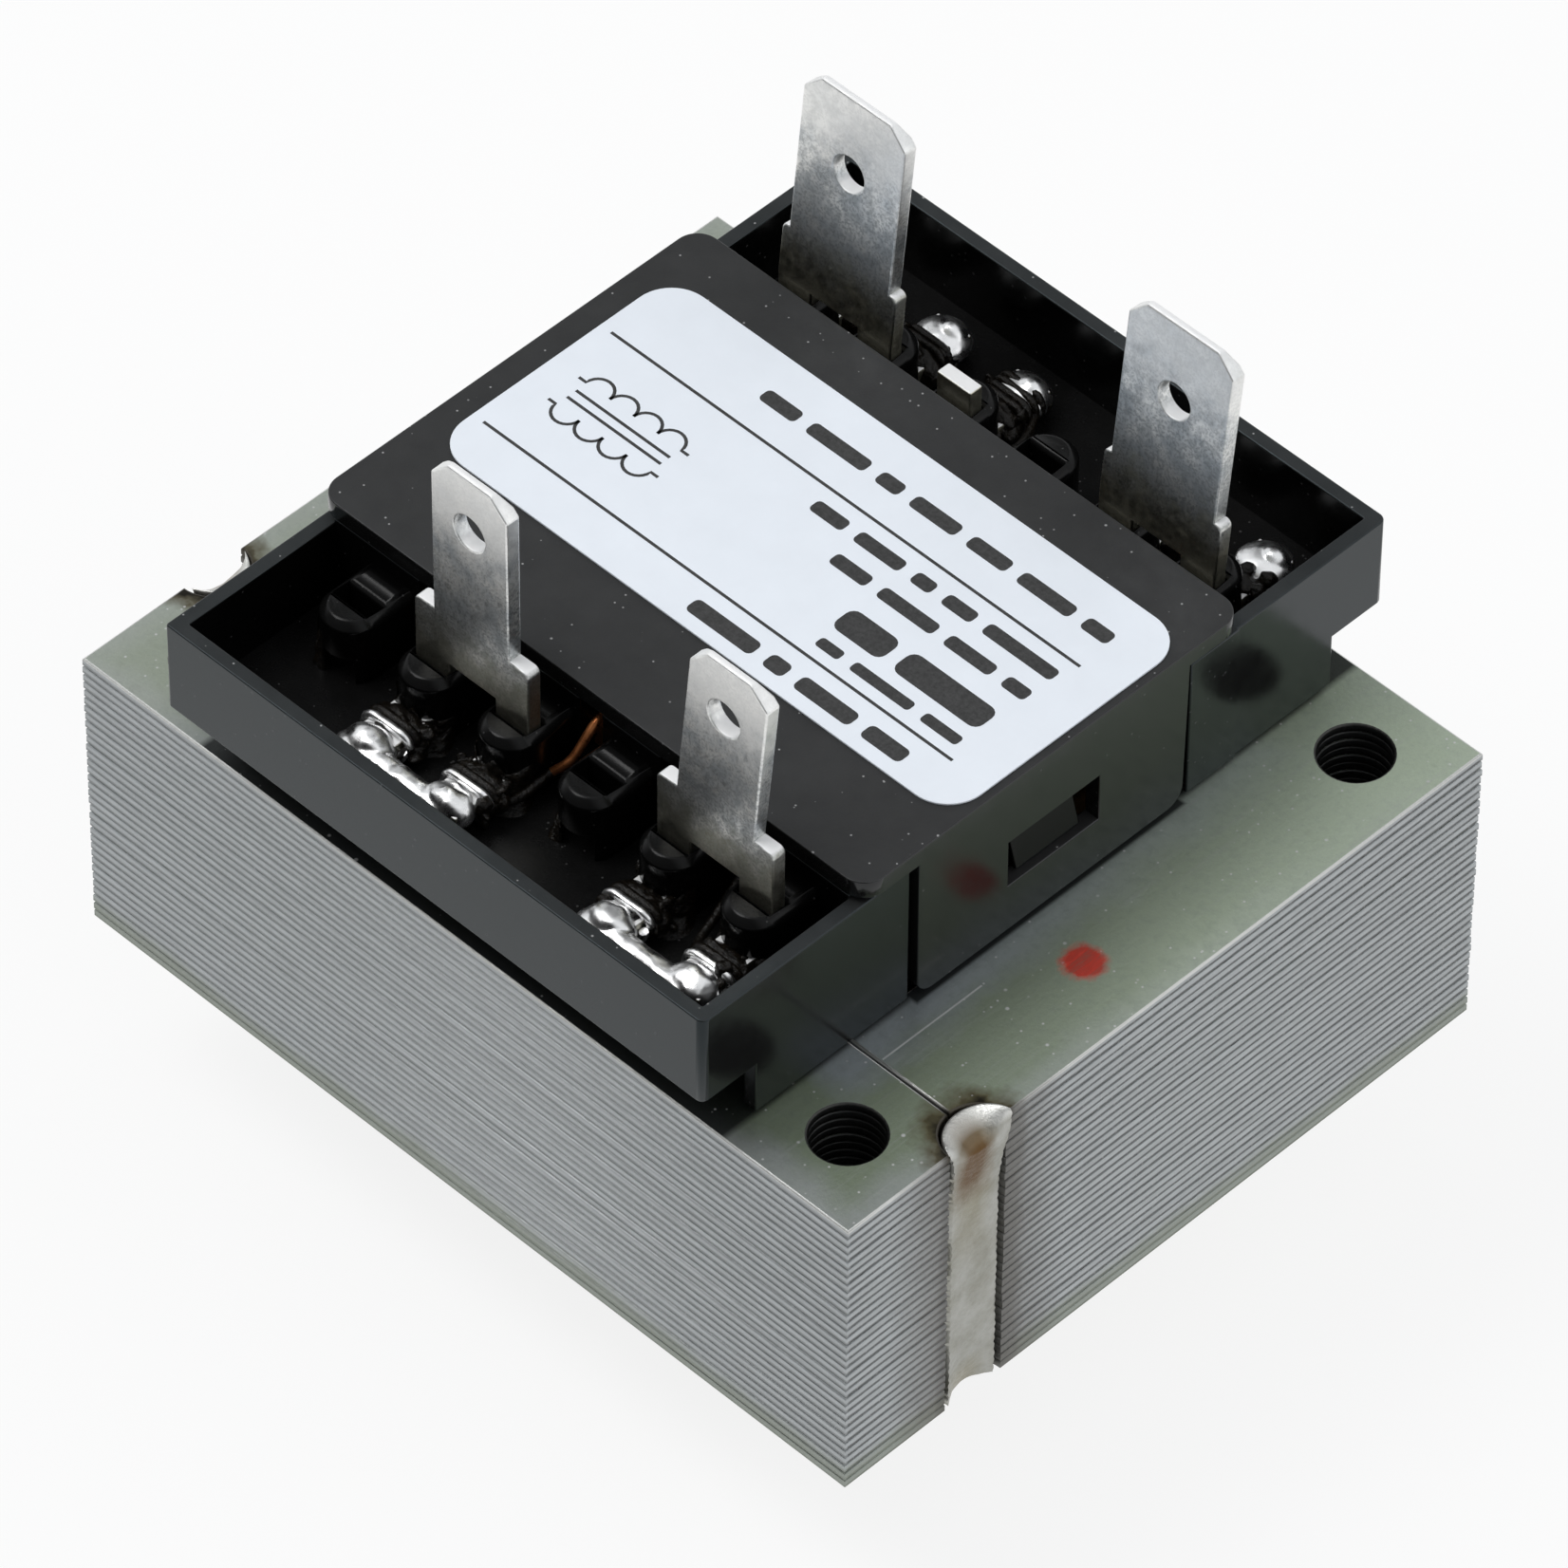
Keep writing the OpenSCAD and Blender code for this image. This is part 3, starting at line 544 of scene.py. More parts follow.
def burnt_edges(f, base, ragged):
    """A colour darkened by the heat of the welds, with a smear beside them, and darker near the top of the
    core beside them.
    """
    weld = weld_distance(f)
    burnt = f.span(f.plus(weld, f.noise(0.6)), 6, 2.6)
    base = f.mix(f.times(burnt, 0.6), base, grey(0.12, (1, 0.9, 0.78)))
    base = f.mix(f.span(weld, 2.4, 1.9, 0, 0.35), base, grey(0.05, (1, 0.95, 0.88)))
    beside = f.plus(f.minus(f.y, JOINT_Y), f.times(ragged, 1.2))
    smear = f.times(f.span(beside, 3.1, 2.5), f.span(beside, 1, 1.5))
    base = f.mix(f.times(smear, 0.7), base, grey(0.16, (1, 0.98, 0.92)))
    # Darker near the top of the core beside the welds.
    dark_top_near_weld = f.times(f.span(weld, 2.3, 1.85), f.span(f.z, CORE_TOP - 0.9, CORE_TOP - 0.3))
    return f.mix(f.times(dark_top_near_weld, 0.85), base, grey(0.04, (1, 0.8, 0.5)))


def painted_bore_shade(f, base):
    """A colour with painted shade that makes the walls of the fixing holes nearly black."""
    side_x = f.minus(f.size(f.x), HOLE_AT[0])
    side_y = f.minus(f.size(f.y), HOLE_AT[1])
    bore = f.most(f.size(side_x), f.size(side_y))
    return f.mix(f.span(bore, 2.2, 2, 0, 0.93), base, grey(0.012, (1, 0.95, 0.85)))


def sheared_steel():
    """Punched edges of the sheets: striped, flecked, olive low down, with a painted highlight along the top
    edge and painted shade in the fixing holes.
    """
    f = Finish("sheared_steel", Metallic=0.85)
    ragged = f.minus(f.noise(1, 4, 0.65, f.stretch((0.8, 0.8, 0.5))), 0.5)
    fleck = f.noise(6, 3, 0.65)
    base = f.mix(f.span(fleck, 0.56, 0.7, 0, 0.35), sheared_stripes(f, ragged), grey(0.62))
    olive = f.span(f.plus(f.z, f.noise(0.25)), CORE_LOW + 2.2, CORE_LOW + 1.3)
    base = f.mix(f.times(olive, 0.6), base, grey(0.26, (0.9, 1, 0.78)))
    # Painted highlight along the top edge of the stack.
    top_edge_highlight = f.span(f.z, CORE_TOP - 0.14, CORE_TOP - 0.08, 0, 0.8)
    base = f.mix(top_edge_highlight, base, grey(0.7, (1, 1, 0.96)))
    f.set("Base Color", painted_bore_shade(f, burnt_edges(f, base, ragged)))
    f.rough(fleck, 0.36, 0.55)
    f.bump(fleck, 0.02, 0.8)
    return f.material


def weld_metal():
    """Rippled bead, with a painted highlight along the top of its head, and brown where it stayed hot
    longest.
    """
    f = Finish("weld_metal", Metallic=0.8)
    cloud = f.noise(0.7, 3, 0.6)
    silver = f.mix(f.span(cloud, 0.35, 0.65), grey(0.3, (1, 0.99, 0.86)), grey(0.4, (1, 1, 0.93)))
    across = f.size(f.minus(f.y, JOINT_Y - 0.2))
    wander = f.times(f.minus(cloud, 0.5), 0.6)
    middle = f.span(f.plus(across, wander), 1.4, 0.4)
    reach = f.plus(f.size(f.minus(f.z, CORE_TOP - 1.9)), wander)
    lower = f.span(f.z, CORE_TOP - 9, CORE_TOP - 4)
    foot = f.span(f.z, CORE_LOW + 2.2, CORE_LOW + 0.8)
    streak = f.times(middle, f.most(lower, foot))
    tan = f.mix(f.times(streak, 0.8), silver, grey(0.28, (1, 0.93, 0.68)))
    base = f.mix(f.times(middle, f.span(reach, 2.7, 0.9)), tan, grey(0.12, (1, 0.54, 0.18)))
    # Painted highlight: the head turns pale towards its top.
    base = f.mix(f.span(f.z, CORE_TOP - 0.4, CORE_TOP - 0.05, 0, 0.7), base, grey(0.8, (1, 1, 0.97)))
    f.set("Base Color", base)
    f.rough(f.noise(4), 0.28, 0.45)
    f.bump(f.noise(6, 4, 0.7), 0.03)
    return f.material


def plastic(name, gloss, matte, level, tint, ior, dusty):
    """Black moulded plastic: fine-grained and dusty where it looks up, polished on its walls."""
    f = Finish(name, Specular_Tint=grey(1, tint), IOR=ior)
    top = f.span(f.up(), 0.75, 0.95)
    cloud = f.noise(0.5, 3, 0.6)
    base = f.mix(f.span(cloud, 0.3, 0.7), grey(level * 0.8), grey(level * 1.2))
    base = f.mix(f.span(f.up(), 0.3, 0.8), grey(level * 0.4), base)
    dust = f.most(f.specks(2.4, 0.15, 0.22), f.specks(1, 0.08, 0.45))
    dust = f.times(dust, f.span(top, 0, 1, 0.08, dusty))
    f.set("Base Color", f.mix(dust, base, grey(0.55)))
    smear = f.span(f.noise(0.8, 4, 0.7), 0.3, 0.7, -0.04, 0.06)
    f.set("Roughness", f.plus(f.span(top, 0, 1, gloss, matte), smear))
    f.bump(f.noise(9, 3, 0.7), 0.012, f.span(top, 0, 1, 0.12, 0.7))
    return f.material


def label_film():
    """White satin film, faintly blue, with a soft grain."""
    f = Finish("label_film", Roughness=0.5)
    f.tones(f.noise(0.4, 3, 0.6), grey(0.83, (0.94, 0.99, 1.06)), grey(0.86, (0.94, 0.99, 1.06)))
    f.bump(f.noise(6), 0.003)
    return f.material


def ink():
    """Dark grey print, slightly uneven."""
    f = Finish("ink", Roughness=0.55)
    f.tones(f.noise(5, 3, 0.7), grey(0.018), grey(0.045), 0.35)
    return f.material


def tinned_sheet(name, tip_reflection_level, tray_reflection_shade, foot_stain_and_light):
    """Dull tinned tab: blotchy, with a painted reflection at the pale tip, painted shade lower down,
    painted light over a stain at the foot, and cut edges paled by painted light.
    """
    f = Finish(name)
    cloud = f.noise(0.7, 3, 0.55)
    blotch = f.noise(2.4, 3, 0.55)
    drift = f.times(f.minus(cloud, 0.5), 5)
    height = f.plus(f.z, drift)
    base = f.mix(f.span(cloud, 0.38, 0.62), grey(0.6, (0.95, 1, 1.03)), grey(0.88, (1, 1, 0.97)))
    base = f.mix(f.span(blotch, 0.42, 0.6, 0, 0.5), base, grey(0.36, (0.94, 1, 1.04)))
    grain = f.noise(7, 3, 0.6)
    base = f.mix(f.span(grain, 0.48, 0.58, 0, 0.6), base, grey(0.26, (0.94, 1, 1.02)))
    # Painted reflection: the tip is made pale.
    base = f.mix(f.span(height, *TAB_TIP, 0, 0.75), base, grey(tip_reflection_level, (1, 1, 0.98)))
    # A darker band round the middle, partly mottle and partly a painted dark reflection; only the rear tabs
    # take it.
    from_middle = f.size(f.minus(height, TAB_MIDDLE))
    middle = f.span(from_middle, 3.4, 1.2, 0, tray_reflection_shade)
    base = f.mix(middle, base, grey(0.24, (0.93, 1, 1.05)))
    # A yellowish stain at the foot, lightened by painted light, most on the rear tabs.
    base = f.mix(f.span(height, *TAB_FOOT, 0, 0.7), base, grey(foot_stain_and_light, (1, 0.94, 0.68)))
    # Faces that look up or down: rough pale cut edges, made paler still by painted light.
    cut_and_top_light = f.span(f.up(), 0.6, 0.9)
    f.set("Base Color", f.mix(cut_and_top_light, base, grey(0.86)))
    f.set("Metallic", f.span(cut_and_top_light, 0, 1, 1, 0.35))
    f.set("Roughness", f.plus(f.span(blotch, 0.3, 0.7, 0.32, 0.45), f.times(cut_and_top_light, 0.2)))
    f.bump(f.plus(cloud, f.times(blotch, 0.3)), 0.006)
    return f.material


def solder_metal():
    """Bright solder with a wrinkled skin."""
    f = Finish("solder_metal", Metallic=1)
    wrinkle = f.noise(1.6, 3, 0.55)
    f.tones(wrinkle, grey(0.8), grey(0.95), 0.35, 0.65)
    f.rough(wrinkle, 0.22, 0.38)
    f.bump(wrinkle, 0.015)
    return f.material


def flux_resin():
    """Nearly black resin left by soldering, glassy and lumpy."""
    f = Finish("flux_resin", IOR=1.3)
    lumps = f.noise(3.2, 4, 0.65)
    f.tones(lumps, grey(0.002), grey(0.01, (1, 0.75, 0.5)))
    f.rough(lumps, 0.06, 0.2)
    f.bump(lumps, 0.12)
    return f.material


def wire_finish(name, dark, light, metallic, gloss):
    """Drawn or enamelled wire, slightly uneven."""
    f = Finish(name, Metallic=metallic)
    cloud = f.noise(2.4, 3, 0.6)
    f.tones(cloud, dark, light)
    f.rough(cloud, gloss, gloss + 0.15)
    f.bump(f.noise(8), 0.006)
    return f.material


def tape_film():
    """Dark amber insulating film with faint wraps."""
    f = Finish("tape_film", IOR=1.5)
    cloud = f.noise(0.7, 3, 0.6)
    f.tones(cloud, (0.05, 0.025, 0.008, 1), (0.08, 0.04, 0.012, 1))
    f.rough(cloud, 0.22, 0.36)
    f.bump(f.noise(1, 2, 0.5, f.stretch((0.4, 3, 0.4))), 0.05)
    return f.material


def fuse_ceramic():
    """Cream fuse body with a fine grain."""
    f = Finish("fuse_ceramic", Roughness=0.5)
    grain = f.noise(4, 4, 0.7)
    f.tones(grain, (0.66, 0.6, 0.46, 1), (0.76, 0.71, 0.58, 1))
    f.bump(grain, 0.02)
    return f.material


COATED_STEEL = coated_steel()
SHEARED_STEEL = sheared_steel()
WELD_METAL = weld_metal()
FORMER_PLASTIC = plastic("former_plastic", 0.17, 0.45, 0.02, (0.74, 0.93, 1), 1.39, 0.55)
# A darker, less shiny copy of the same plastic: painted shade inside the trays.
FORMER_SHADED_INSIDE = plastic("former_inside_shaded", 0.17, 0.24, 0.005, (1, 1, 1), 1.24, 0.08)
COVER_PLASTIC = plastic("cover_plastic", 0.15, 0.55, 0.016, (0.96, 0.98, 1), 1.46, 0.55)
LABEL_FILM = label_film()
INK = ink()
# Two copies of one tab finish: the rear one with painted shade in its middle and more painted light at its
# foot, the front one with a brighter painted reflection at its tip.
REAR_TABS = tinned_sheet("rear_tabs", 0.86, 0.26, 0.62)
FRONT_TABS = tinned_sheet("front_tabs", 0.95, 0, 0.34)
SOLDER = solder_metal()
FLUX = flux_resin()
COPPER = wire_finish("enamelled_copper", (0.36, 0.12, 0.04, 1), (0.58, 0.22, 0.08, 1), 0.85, 0.25)
TINNED_WIRE = wire_finish("tinned_wire", grey(0.5, (1, 0.97, 0.88)), grey(0.7, (1, 0.97, 0.9)),
                          0.95, 0.3)
TAPE = tape_film()
FUSE = fuse_ceramic()


# Core

def hole(x, y):
    """Loop of a fixing hole."""
    return arc(x, y, HOLE_R, 360, 360 / 40, 39)


def e_plan():
    """Loops of an E sheet: outline, then its two holes."""
    x, y, g = CORE_X, CORE_Y, GROOVE_R
    outline = [(-WINDOW_X, JOINT_Y), (-WINDOW_X, WINDOW_Y), (-LEG_X, WINDOW_Y), (-LEG_X, JOINT_Y),
               (LEG_X, JOINT_Y), (LEG_X, WINDOW_Y), (WINDOW_X, WINDOW_Y), (WINDOW_X, JOINT_Y)]
    outline += arc(x, JOINT_Y, g, 180, 90, 10) + [(x, y), (-x, y)] + arc(-x, JOINT_Y, g, 90, 0, 10)
    return [outline] + [hole(side * HOLE_AT[0], HOLE_AT[1]) for side in (-1, 1)]


def i_plan():
    """Loops of an I strip: outline, then its two holes."""
    x, y, g = CORE_X, CORE_Y, GROOVE_R
    slip = math.degrees(math.asin(JOINT_GAP / g))
    outline = [(-x, -y), (x, -y)]
    outline += arc(x, JOINT_Y, g, 270, 180 + slip, 10) + arc(-x, JOINT_Y, g, -slip, -90, 10)
    return [outline] + [hole(side * HOLE_AT[0], -HOLE_AT[1]) for side in (-1, 1)]


def add_sheet(bm, loops, low, high, shift, roll):
    """One sheet with a rolled upper edge and a slight burr below."""
    levels = ((low + 0.01, 0.1), (low + 0.09, 0.0), (high - roll, 0.0), (high - roll * 0.3, roll * 0.3),
              (high, roll))
    caps = {0: [], len(levels) - 1: []}
    for loop in loops:
        rings = []
        for index, (z, depth) in enumerate(levels):
            points = inset(loop, depth) if depth else [Vector(p) for p in loop]
            ring = [bm.verts.new(((p.x + shift[0]) * MM, (p.y + shift[1]) * MM, z * MM)) for p in points]
            rings.append(ring)
            if index in caps:
                caps[index].append(ring)
        for lower, upper in zip(rings, rings[1:]):
            join_rings(bm, lower, upper, SHEARED)
    for index, cap in caps.items():
        verts = [vert for ring in cap for vert in ring]
        for corner in tessellate_polygon([[vert.co for vert in ring] for ring in cap]):
            face = bm.faces.new([verts[k] for k in corner])
            face.material_index = COATED
            face.normal_update()
            if (face.normal.z > 0) == (index == 0):
                face.normal_flip()


def stack(name, loops, node, seed):
    """Pile of sheets that lie a hair out of line with each other."""
    draw = random.Random(seed)
    bm = bmesh.new()
    for i in range(SHEETS):
        low = CORE_LOW + i * SHEET_T
        top = i == SHEETS - 1
        shift = (0, 0) if top else (draw.uniform(-0.02, 0.02), draw.uniform(-0.02, 0.02))
        add_sheet(bm, loops, low, low + SHEET_T, shift, 0.1 if top else 0.08)
    piece = new_piece(name, bm, [COATED_STEEL, SHEARED_STEEL], "core_steel", node, smooth_angle=50)
    for face in piece.data.polygons:
        face.use_smooth = face.material_index == SHEARED


Weld = namedtuple("Weld", "side seed phase sink crown swell")


def weld_front(weld, u, z):
    """Place on a weld's face: u runs across it from -1 to 1, z is the height."""
    down = CORE_TOP - z
    hump = 1 - u * u
    if u < 0:
        flare = 0.38 * math.exp(-max(down, 0) / 0.9) * weld.swell
    else:
        flare = 0.56 * math.exp(-(down / 2.6) ** 2) * weld.swell
    teeth = 0.07 * abs(math.sin(math.pi * z / SHEET_T))
    sag = 0.1 + 0.5 * max(0.0, 1 - (z - BEAD_LOW) / 4.0) ** 1.5
    swollen = 0.2 * weld.swell * math.exp(-(down / 2.4) ** 2)
    ripple = 0.007 * math.sin(2 * math.pi * (z + 0.9 * hump + weld.phase) / 0.34)
    rough = 0.05 * noise.noise(Vector((u * 2.2, z * 0.9, weld.seed)))
    x = CORE_X - 0.1 - weld.sink - sag * hump + swollen * (1 + hump) + ripple + rough
    return Vector((x, u * (1.38 + flare + teeth), z))


def weld_rim(weld, u):
    """Place on the rim of the head, along the wall of the groove."""
    turn = math.radians(90 * u)
    gap = 0.3 * math.cos(turn + math.radians(20)) - 0.12 * u ** 8 + (1 - weld.swell) * 0.3
    r = GROOVE_R - gap
    lift = 0.34 * max(0.0, u) ** 1.5 * (1 - 0.5 * u ** 6) * weld.swell
    uneven = 0.04 * noise.noise(Vector((u * 4.0, 3.0, weld.seed)))
    x = CORE_X - r * math.cos(turn) - weld.sink * 0.5
    return Vector((x, r * math.sin(turn), CORE_TOP + weld.crown + lift + uneven))


def weld_head(weld, u, share):
    """Place on the head, from the neck at share 0 to the rim at share 1, blunter at both sides."""
    turn = math.pi / 2 * share
    top = weld_rim(weld, u)
    blunt = max(1 - weld.swell, min(max((abs(u) - 0.3) / 0.5, 0.0), 1.0))
    rise = (0.6 * share + 0.4 * math.sin(turn)) * (1 - blunt) + math.sqrt(math.sin(turn)) * blunt
    here = weld_front(weld, u, BEAD_NECK + (top.z - BEAD_NECK) * rise)
    back = 0.5 * share ** 2 * (1 - blunt) + (0.5 + 0.5 * blunt) * (1 - math.cos(turn))
    return here.lerp(Vector((top.x, top.y, here.z)), back)


def weld_back(weld, u, back, down):
    """Place behind the rim and lower down, inside the groove."""
    turn = math.radians(90 * u)
    inward = Vector((-math.cos(turn) - 0.8 * u ** 6, math.sin(turn) * math.cos(turn), 0)) * back
    return weld_rim(weld, u) + inward - Vector((0, 0, down))


def weld_flanks(weld, row):
    """Places in the groove on both sides of a row of the face."""
    deep = min(CORE_X - 0.5 - weld.sink, row[BEAD_COLUMNS // 2].x - 0.3)
    reach = math.sqrt(GROOVE_R ** 2 - (CORE_X - deep) ** 2) + 0.04
    return [Vector((deep, end * reach, row[0].z)) for end in (-1, 1)]


def weld_points(bm, weld, places):
    """Mesh points at places, which count y from the joint and x towards the weld's own side."""
    return [bm.verts.new((weld.side * p.x * MM, (JOINT_Y + p.y) * MM, p.z * MM)) for p in places]


def weld_loops(bm, weld):
    """Closed loops: up the shaft, over the head and down behind its rim."""
    loops = []
    for r in range(BEAD_ROWS + 1):
        z = BEAD_LOW + (BEAD_NECK - BEAD_LOW) * r / BEAD_ROWS
        row = [weld_front(weld, u, z) for u in BEAD_PLACES]
        left, right = weld_points(bm, weld, weld_flanks(weld, row))
        loops.append([left] + weld_points(bm, weld, row) + [right])
    rows = [[weld_head(weld, u, r / HEAD_ROWS) for u in BEAD_PLACES] for r in range(1, HEAD_ROWS + 1)]
    for back, down in ((0.07, 0.01), (0.12, 0.06), (0.15, 0.16), (0.15, 0.9)):
        rows.append([weld_back(weld, u, back, down) for u in BEAD_PLACES])
    return loops + [[left] + weld_points(bm, weld, row) + [right] for row in rows]


def bead(name, node, side, seed, sink, crown, swell):
    """Weld in a groove: hollow at its lower end, rippled, with a head that fills the groove at the top.

    sink sets it back into the groove, crown raises its head, and swell is 1 for a full, spread head.
    """
    bm = bmesh.new()
    loops = weld_loops(bm, Weld(side, seed, random.Random(seed).uniform(0, 1), sink, crown, swell))
    for lower, upper in zip(loops, loops[1:]):
        for c in range(len(lower)):
            k = (c + 1) % len(lower)
            around = list(dict.fromkeys((lower[c], lower[k], upper[k], upper[c])))
            if len(around) > 2:
                bm.faces.new(around)
    bm.faces.new(loops[0])
    bm.faces.new(loops[-1])
    bmesh.ops.recalc_face_normals(bm, faces=bm.faces)
    new_piece(name, bm, [WELD_METAL], "weld", node, smooth_angle=60)


stack("e_sheets", e_plan(), "e_stack", 11)
stack("i_sheets", i_plan(), "i_stack", 12)
bead("bead_left", "weld_bead_left", side=-1, seed=21, sink=0.5, crown=-0.05, swell=0.2)
bead("bead_right", "weld_bead_right", side=1, seed=22, sink=0.0, crown=-0.05, swell=1.0)


# Mouldings, tabs and label

def longer_left(place):
    """The mouldings reach a little further at their left-hand end."""
    return place - Vector((LONGER_LEFT, 0, 0)) if place.x < -14 else place


def tighter(place, corner_x, corner_y, r, new_r):
    """Point on the rounded corner of a tray, moved to a corner with a smaller radius."""
    sx = math.copysign(1, place.x)
    sy = math.copysign(1, place.y)
    out = Vector((place.x - sx * (corner_x - r), place.y - sy * (corner_y - r)))
    if out.x * sx < -0.01 or out.y * sy < -0.01 or abs(out.length - r) > 0.03:
        return place
    x = sx * (corner_x - new_r) + out.x * new_r / r
    y = sy * (corner_y - new_r) + out.y * new_r / r
    return Vector((x, y, place.z))


def tray_shape(place):
    """Crisper tray corners, front end walls flush with the flange, and the longer left end."""
    place = tighter(place, TRAY_X, TRAY_Y, TRAY_R, 0.4 if place.x > 0 else 0.15)
    place = tighter(place, TRAY_X - TRAY_WALL, TRAY_Y - TRAY_WALL, TRAY_R, 0.05)
    if place.y < 0:
        place = Vector((max(-TRAY_X, min(TRAY_X, place.x)), place.y, place.z))
    return longer_left(place)


def tray_side(place):
    """Material of the former at a place: the inside of the trays takes a darker copy as painted shade."""
    along = abs(place.x) < TRAY_X - TRAY_WALL + 0.4
    across = abs(place.y) < TRAY_Y - TRAY_WALL + 0.1
    between = FLOOR_Z - 0.1 < place.z < POST_TOP + 0.2
    return INSIDE if along and across and between else OUTSIDE


def cover_shape(place):
    """Skirts that stop short of the rear ears, which leaves a dark gap, and the longer left end."""
    if place.z < LABEL_TOP - 1.3:
        back = min(max((place.y - 4.0) / 3.5, 0.0), 1.0)
        place = place - Vector((0, 0.2 * back, 0))
    return longer_left(place)


softened("coil_former", 0.09, [FORMER_PLASTIC, FORMER_SHADED_INSIDE], "moulding", shape=tray_shape,
         first=(0.18, 3, is_post_edge), choose=tray_side)
softened("coil_cover", 0.07, [COVER_PLASTIC], "cover", shape=cover_shape)
for tab in ("primary_tab_left", "primary_tab_right", "link_pin"):
    softened(tab, 0.1, [REAR_TABS], "tinned_sheet", segments=3)
for tab in ("secondary_tab_left", "secondary_tab_right"):
    softened(tab, 0.1, [FRONT_TABS], "tinned_sheet", segments=3)
softened("rating_label", 0.03, [LABEL_FILM], "label")
softened("thermal_fuse", 0.3, [FUSE], "fuse_body", segments=3)


def print_points(bm, outline):
    """Points of a printed outline, at its foot in the label and at its face."""
    lower = [bm.verts.new((x * MM, y * MM, PRINT_LOW * MM)) for x, y in outline]
    upper = [bm.verts.new((x * MM, y * MM, PRINT_HIGH * MM)) for x, y in outline]
    return lower, upper


def add_ribbon(bm, path):
    """Flat printed stroke along a path of (x, y) points."""
    left, right = [], []
    for i, point in enumerate(path):
        ahead = Vector(path[min(i + 1, len(path) - 1)]) - Vector(path[max(i - 1, 0)])
        across = Vector((-ahead.y, ahead.x)).normalized() * STROKE_W / 2
        left.append(Vector(point) + across)
        right.append(Vector(point) - across)
    lower, upper = print_points(bm, right + left[::-1])
    join_rings(bm, lower, upper)
    join_rows(bm, upper[:len(path)], upper[:len(path) - 1:-1])


def add_bar(bm, x0, x1, y, height):
    """Printed bar with round corners, standing in for a word."""
    r = height * 0.32
    low = y - height / 2 + r
    high = y + height / 2 - r
    outline = arc(x1 - r, low, r, -90, 0, 4) + arc(x1 - r, high, r, 0, 90, 4)
    outline += arc(x0 + r, high, r, 90, 180, 4) + arc(x0 + r, low, r, 180, 270, 4)
    lower, upper = print_points(bm, outline)
    join_rings(bm, lower, upper)
    bm.faces.new(upper)


def winding_symbol(bm):
    """Plain symbol of two windings on one core."""
    for side in (-1, 1):
        y = SYMBOL_Y + side * 0.95
        bumps = []
        for turn in range(4):
            bumps += arc(-12.7 + 1.5 * turn, y, 0.75, 180, 180 - side * 180, 12)
        add_ribbon(bm, [(-13.9, y)] + bumps + [(-7.0, y)])
        core_y = SYMBOL_Y + side * 0.28
        add_ribbon(bm, [(-13.4, core_y), (-7.5, core_y)])


def label_print():
    """Two rules, bars in place of words and a plain symbol; nothing on it can be read."""
    bm = bmesh.new()
    for y in RULES_Y:
        add_ribbon(bm, [(14.15, y), (-14.9, y)])
    for y, height, x, bars in BAR_ROWS:
        for length in bars:
            add_bar(bm, x - length, x, y, height)
            x -= length + BAR_GAP
    winding_symbol(bm)
    new_piece("label_print", bm, [INK], "label", smooth_angle=20)


label_print()


# Windings and their wire ends

def ring_path(half_x, half_z, r, steps):
    """Rounded rectangle in X and Z round the middle of the coil."""
    path = []
    for sx, sz, start in ((1, 1, 0), (-1, 1, 90), (-1, -1, 180), (1, -1, 270)):
        path += arc(sx * (half_x - r), sz * (half_z - r), r, start, start + 90, steps)
    return path


def winding(name, node, y0, y1, half_x, half_z, wire_d):
    """Wound coil: its outer face scalloped by the turns of wire."""
    bm = bmesh.new()
    middle = (CORE_LOW + CORE_TOP) / 2
    count = round(abs(y1 - y0) / wire_d)
    rings = []
    per_turn = 6
    for k in range(count * per_turn + 1):
        y = y0 + (y1 - y0) * k / (count * per_turn)
        sink = wire_d / 2 * (1 - abs(math.sin(math.pi * k / per_turn)))
        path = ring_path(half_x - sink, half_z - sink, 3.0, 6)
        rings.append([bm.verts.new((x * MM, y * MM, (z + middle) * MM)) for x, z in path])
    hollow = ring_path(9.2, 9.7, 0.1, 6)
    inner = [[bm.verts.new((x * MM, y * MM, (z + middle) * MM)) for x, z in hollow] for y in (y0, y1)]
    whole = [inner[0]] + rings + [inner[1]]
    for lower, upper in zip(whole, whole[1:] + whole[:1]):
        join_rings(bm, lower, upper)
    bmesh.ops.recalc_face_normals(bm, faces=bm.faces)
    new_piece(name, bm, [COPPER], "copper", node, smooth_angle=60)


def half_size(node):
    """Half width and half height of a node round the coil's middle."""
    low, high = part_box(node)
    return (high.x - low.x) / 2 / MM, (high.z - low.z) / 2 / MM


winding("primary_coil", "primary_winding", 0.8, 10.8, *half_size("primary_winding"), 0.25)
winding("secondary_coil", "secondary_winding", -0.8, -10.8, *half_size("secondary_winding"), 0.55)
for tape in ("primary_tape", "secondary_tape"):
    softened(tape, 0.06, [TAPE], "tape")


def turn_round(x, side, start, d):
    """Path of one loose turn of wire round a tail that runs out along Y."""
    half_x = TAIL_W / 2 + d / 2 + 0.02
    half_z = TAIL_T / 2 + d / 2 + 0.02
    loop = ring_path(half_x, half_z, half_z * 0.9, 5)
    path = []
    for i in range(len(loop) + 1):
        px, pz = loop[i % len(loop)]
        path.append((x + px, side * (start + d * i / len(loop)), TAIL_Z + pz))
    return path


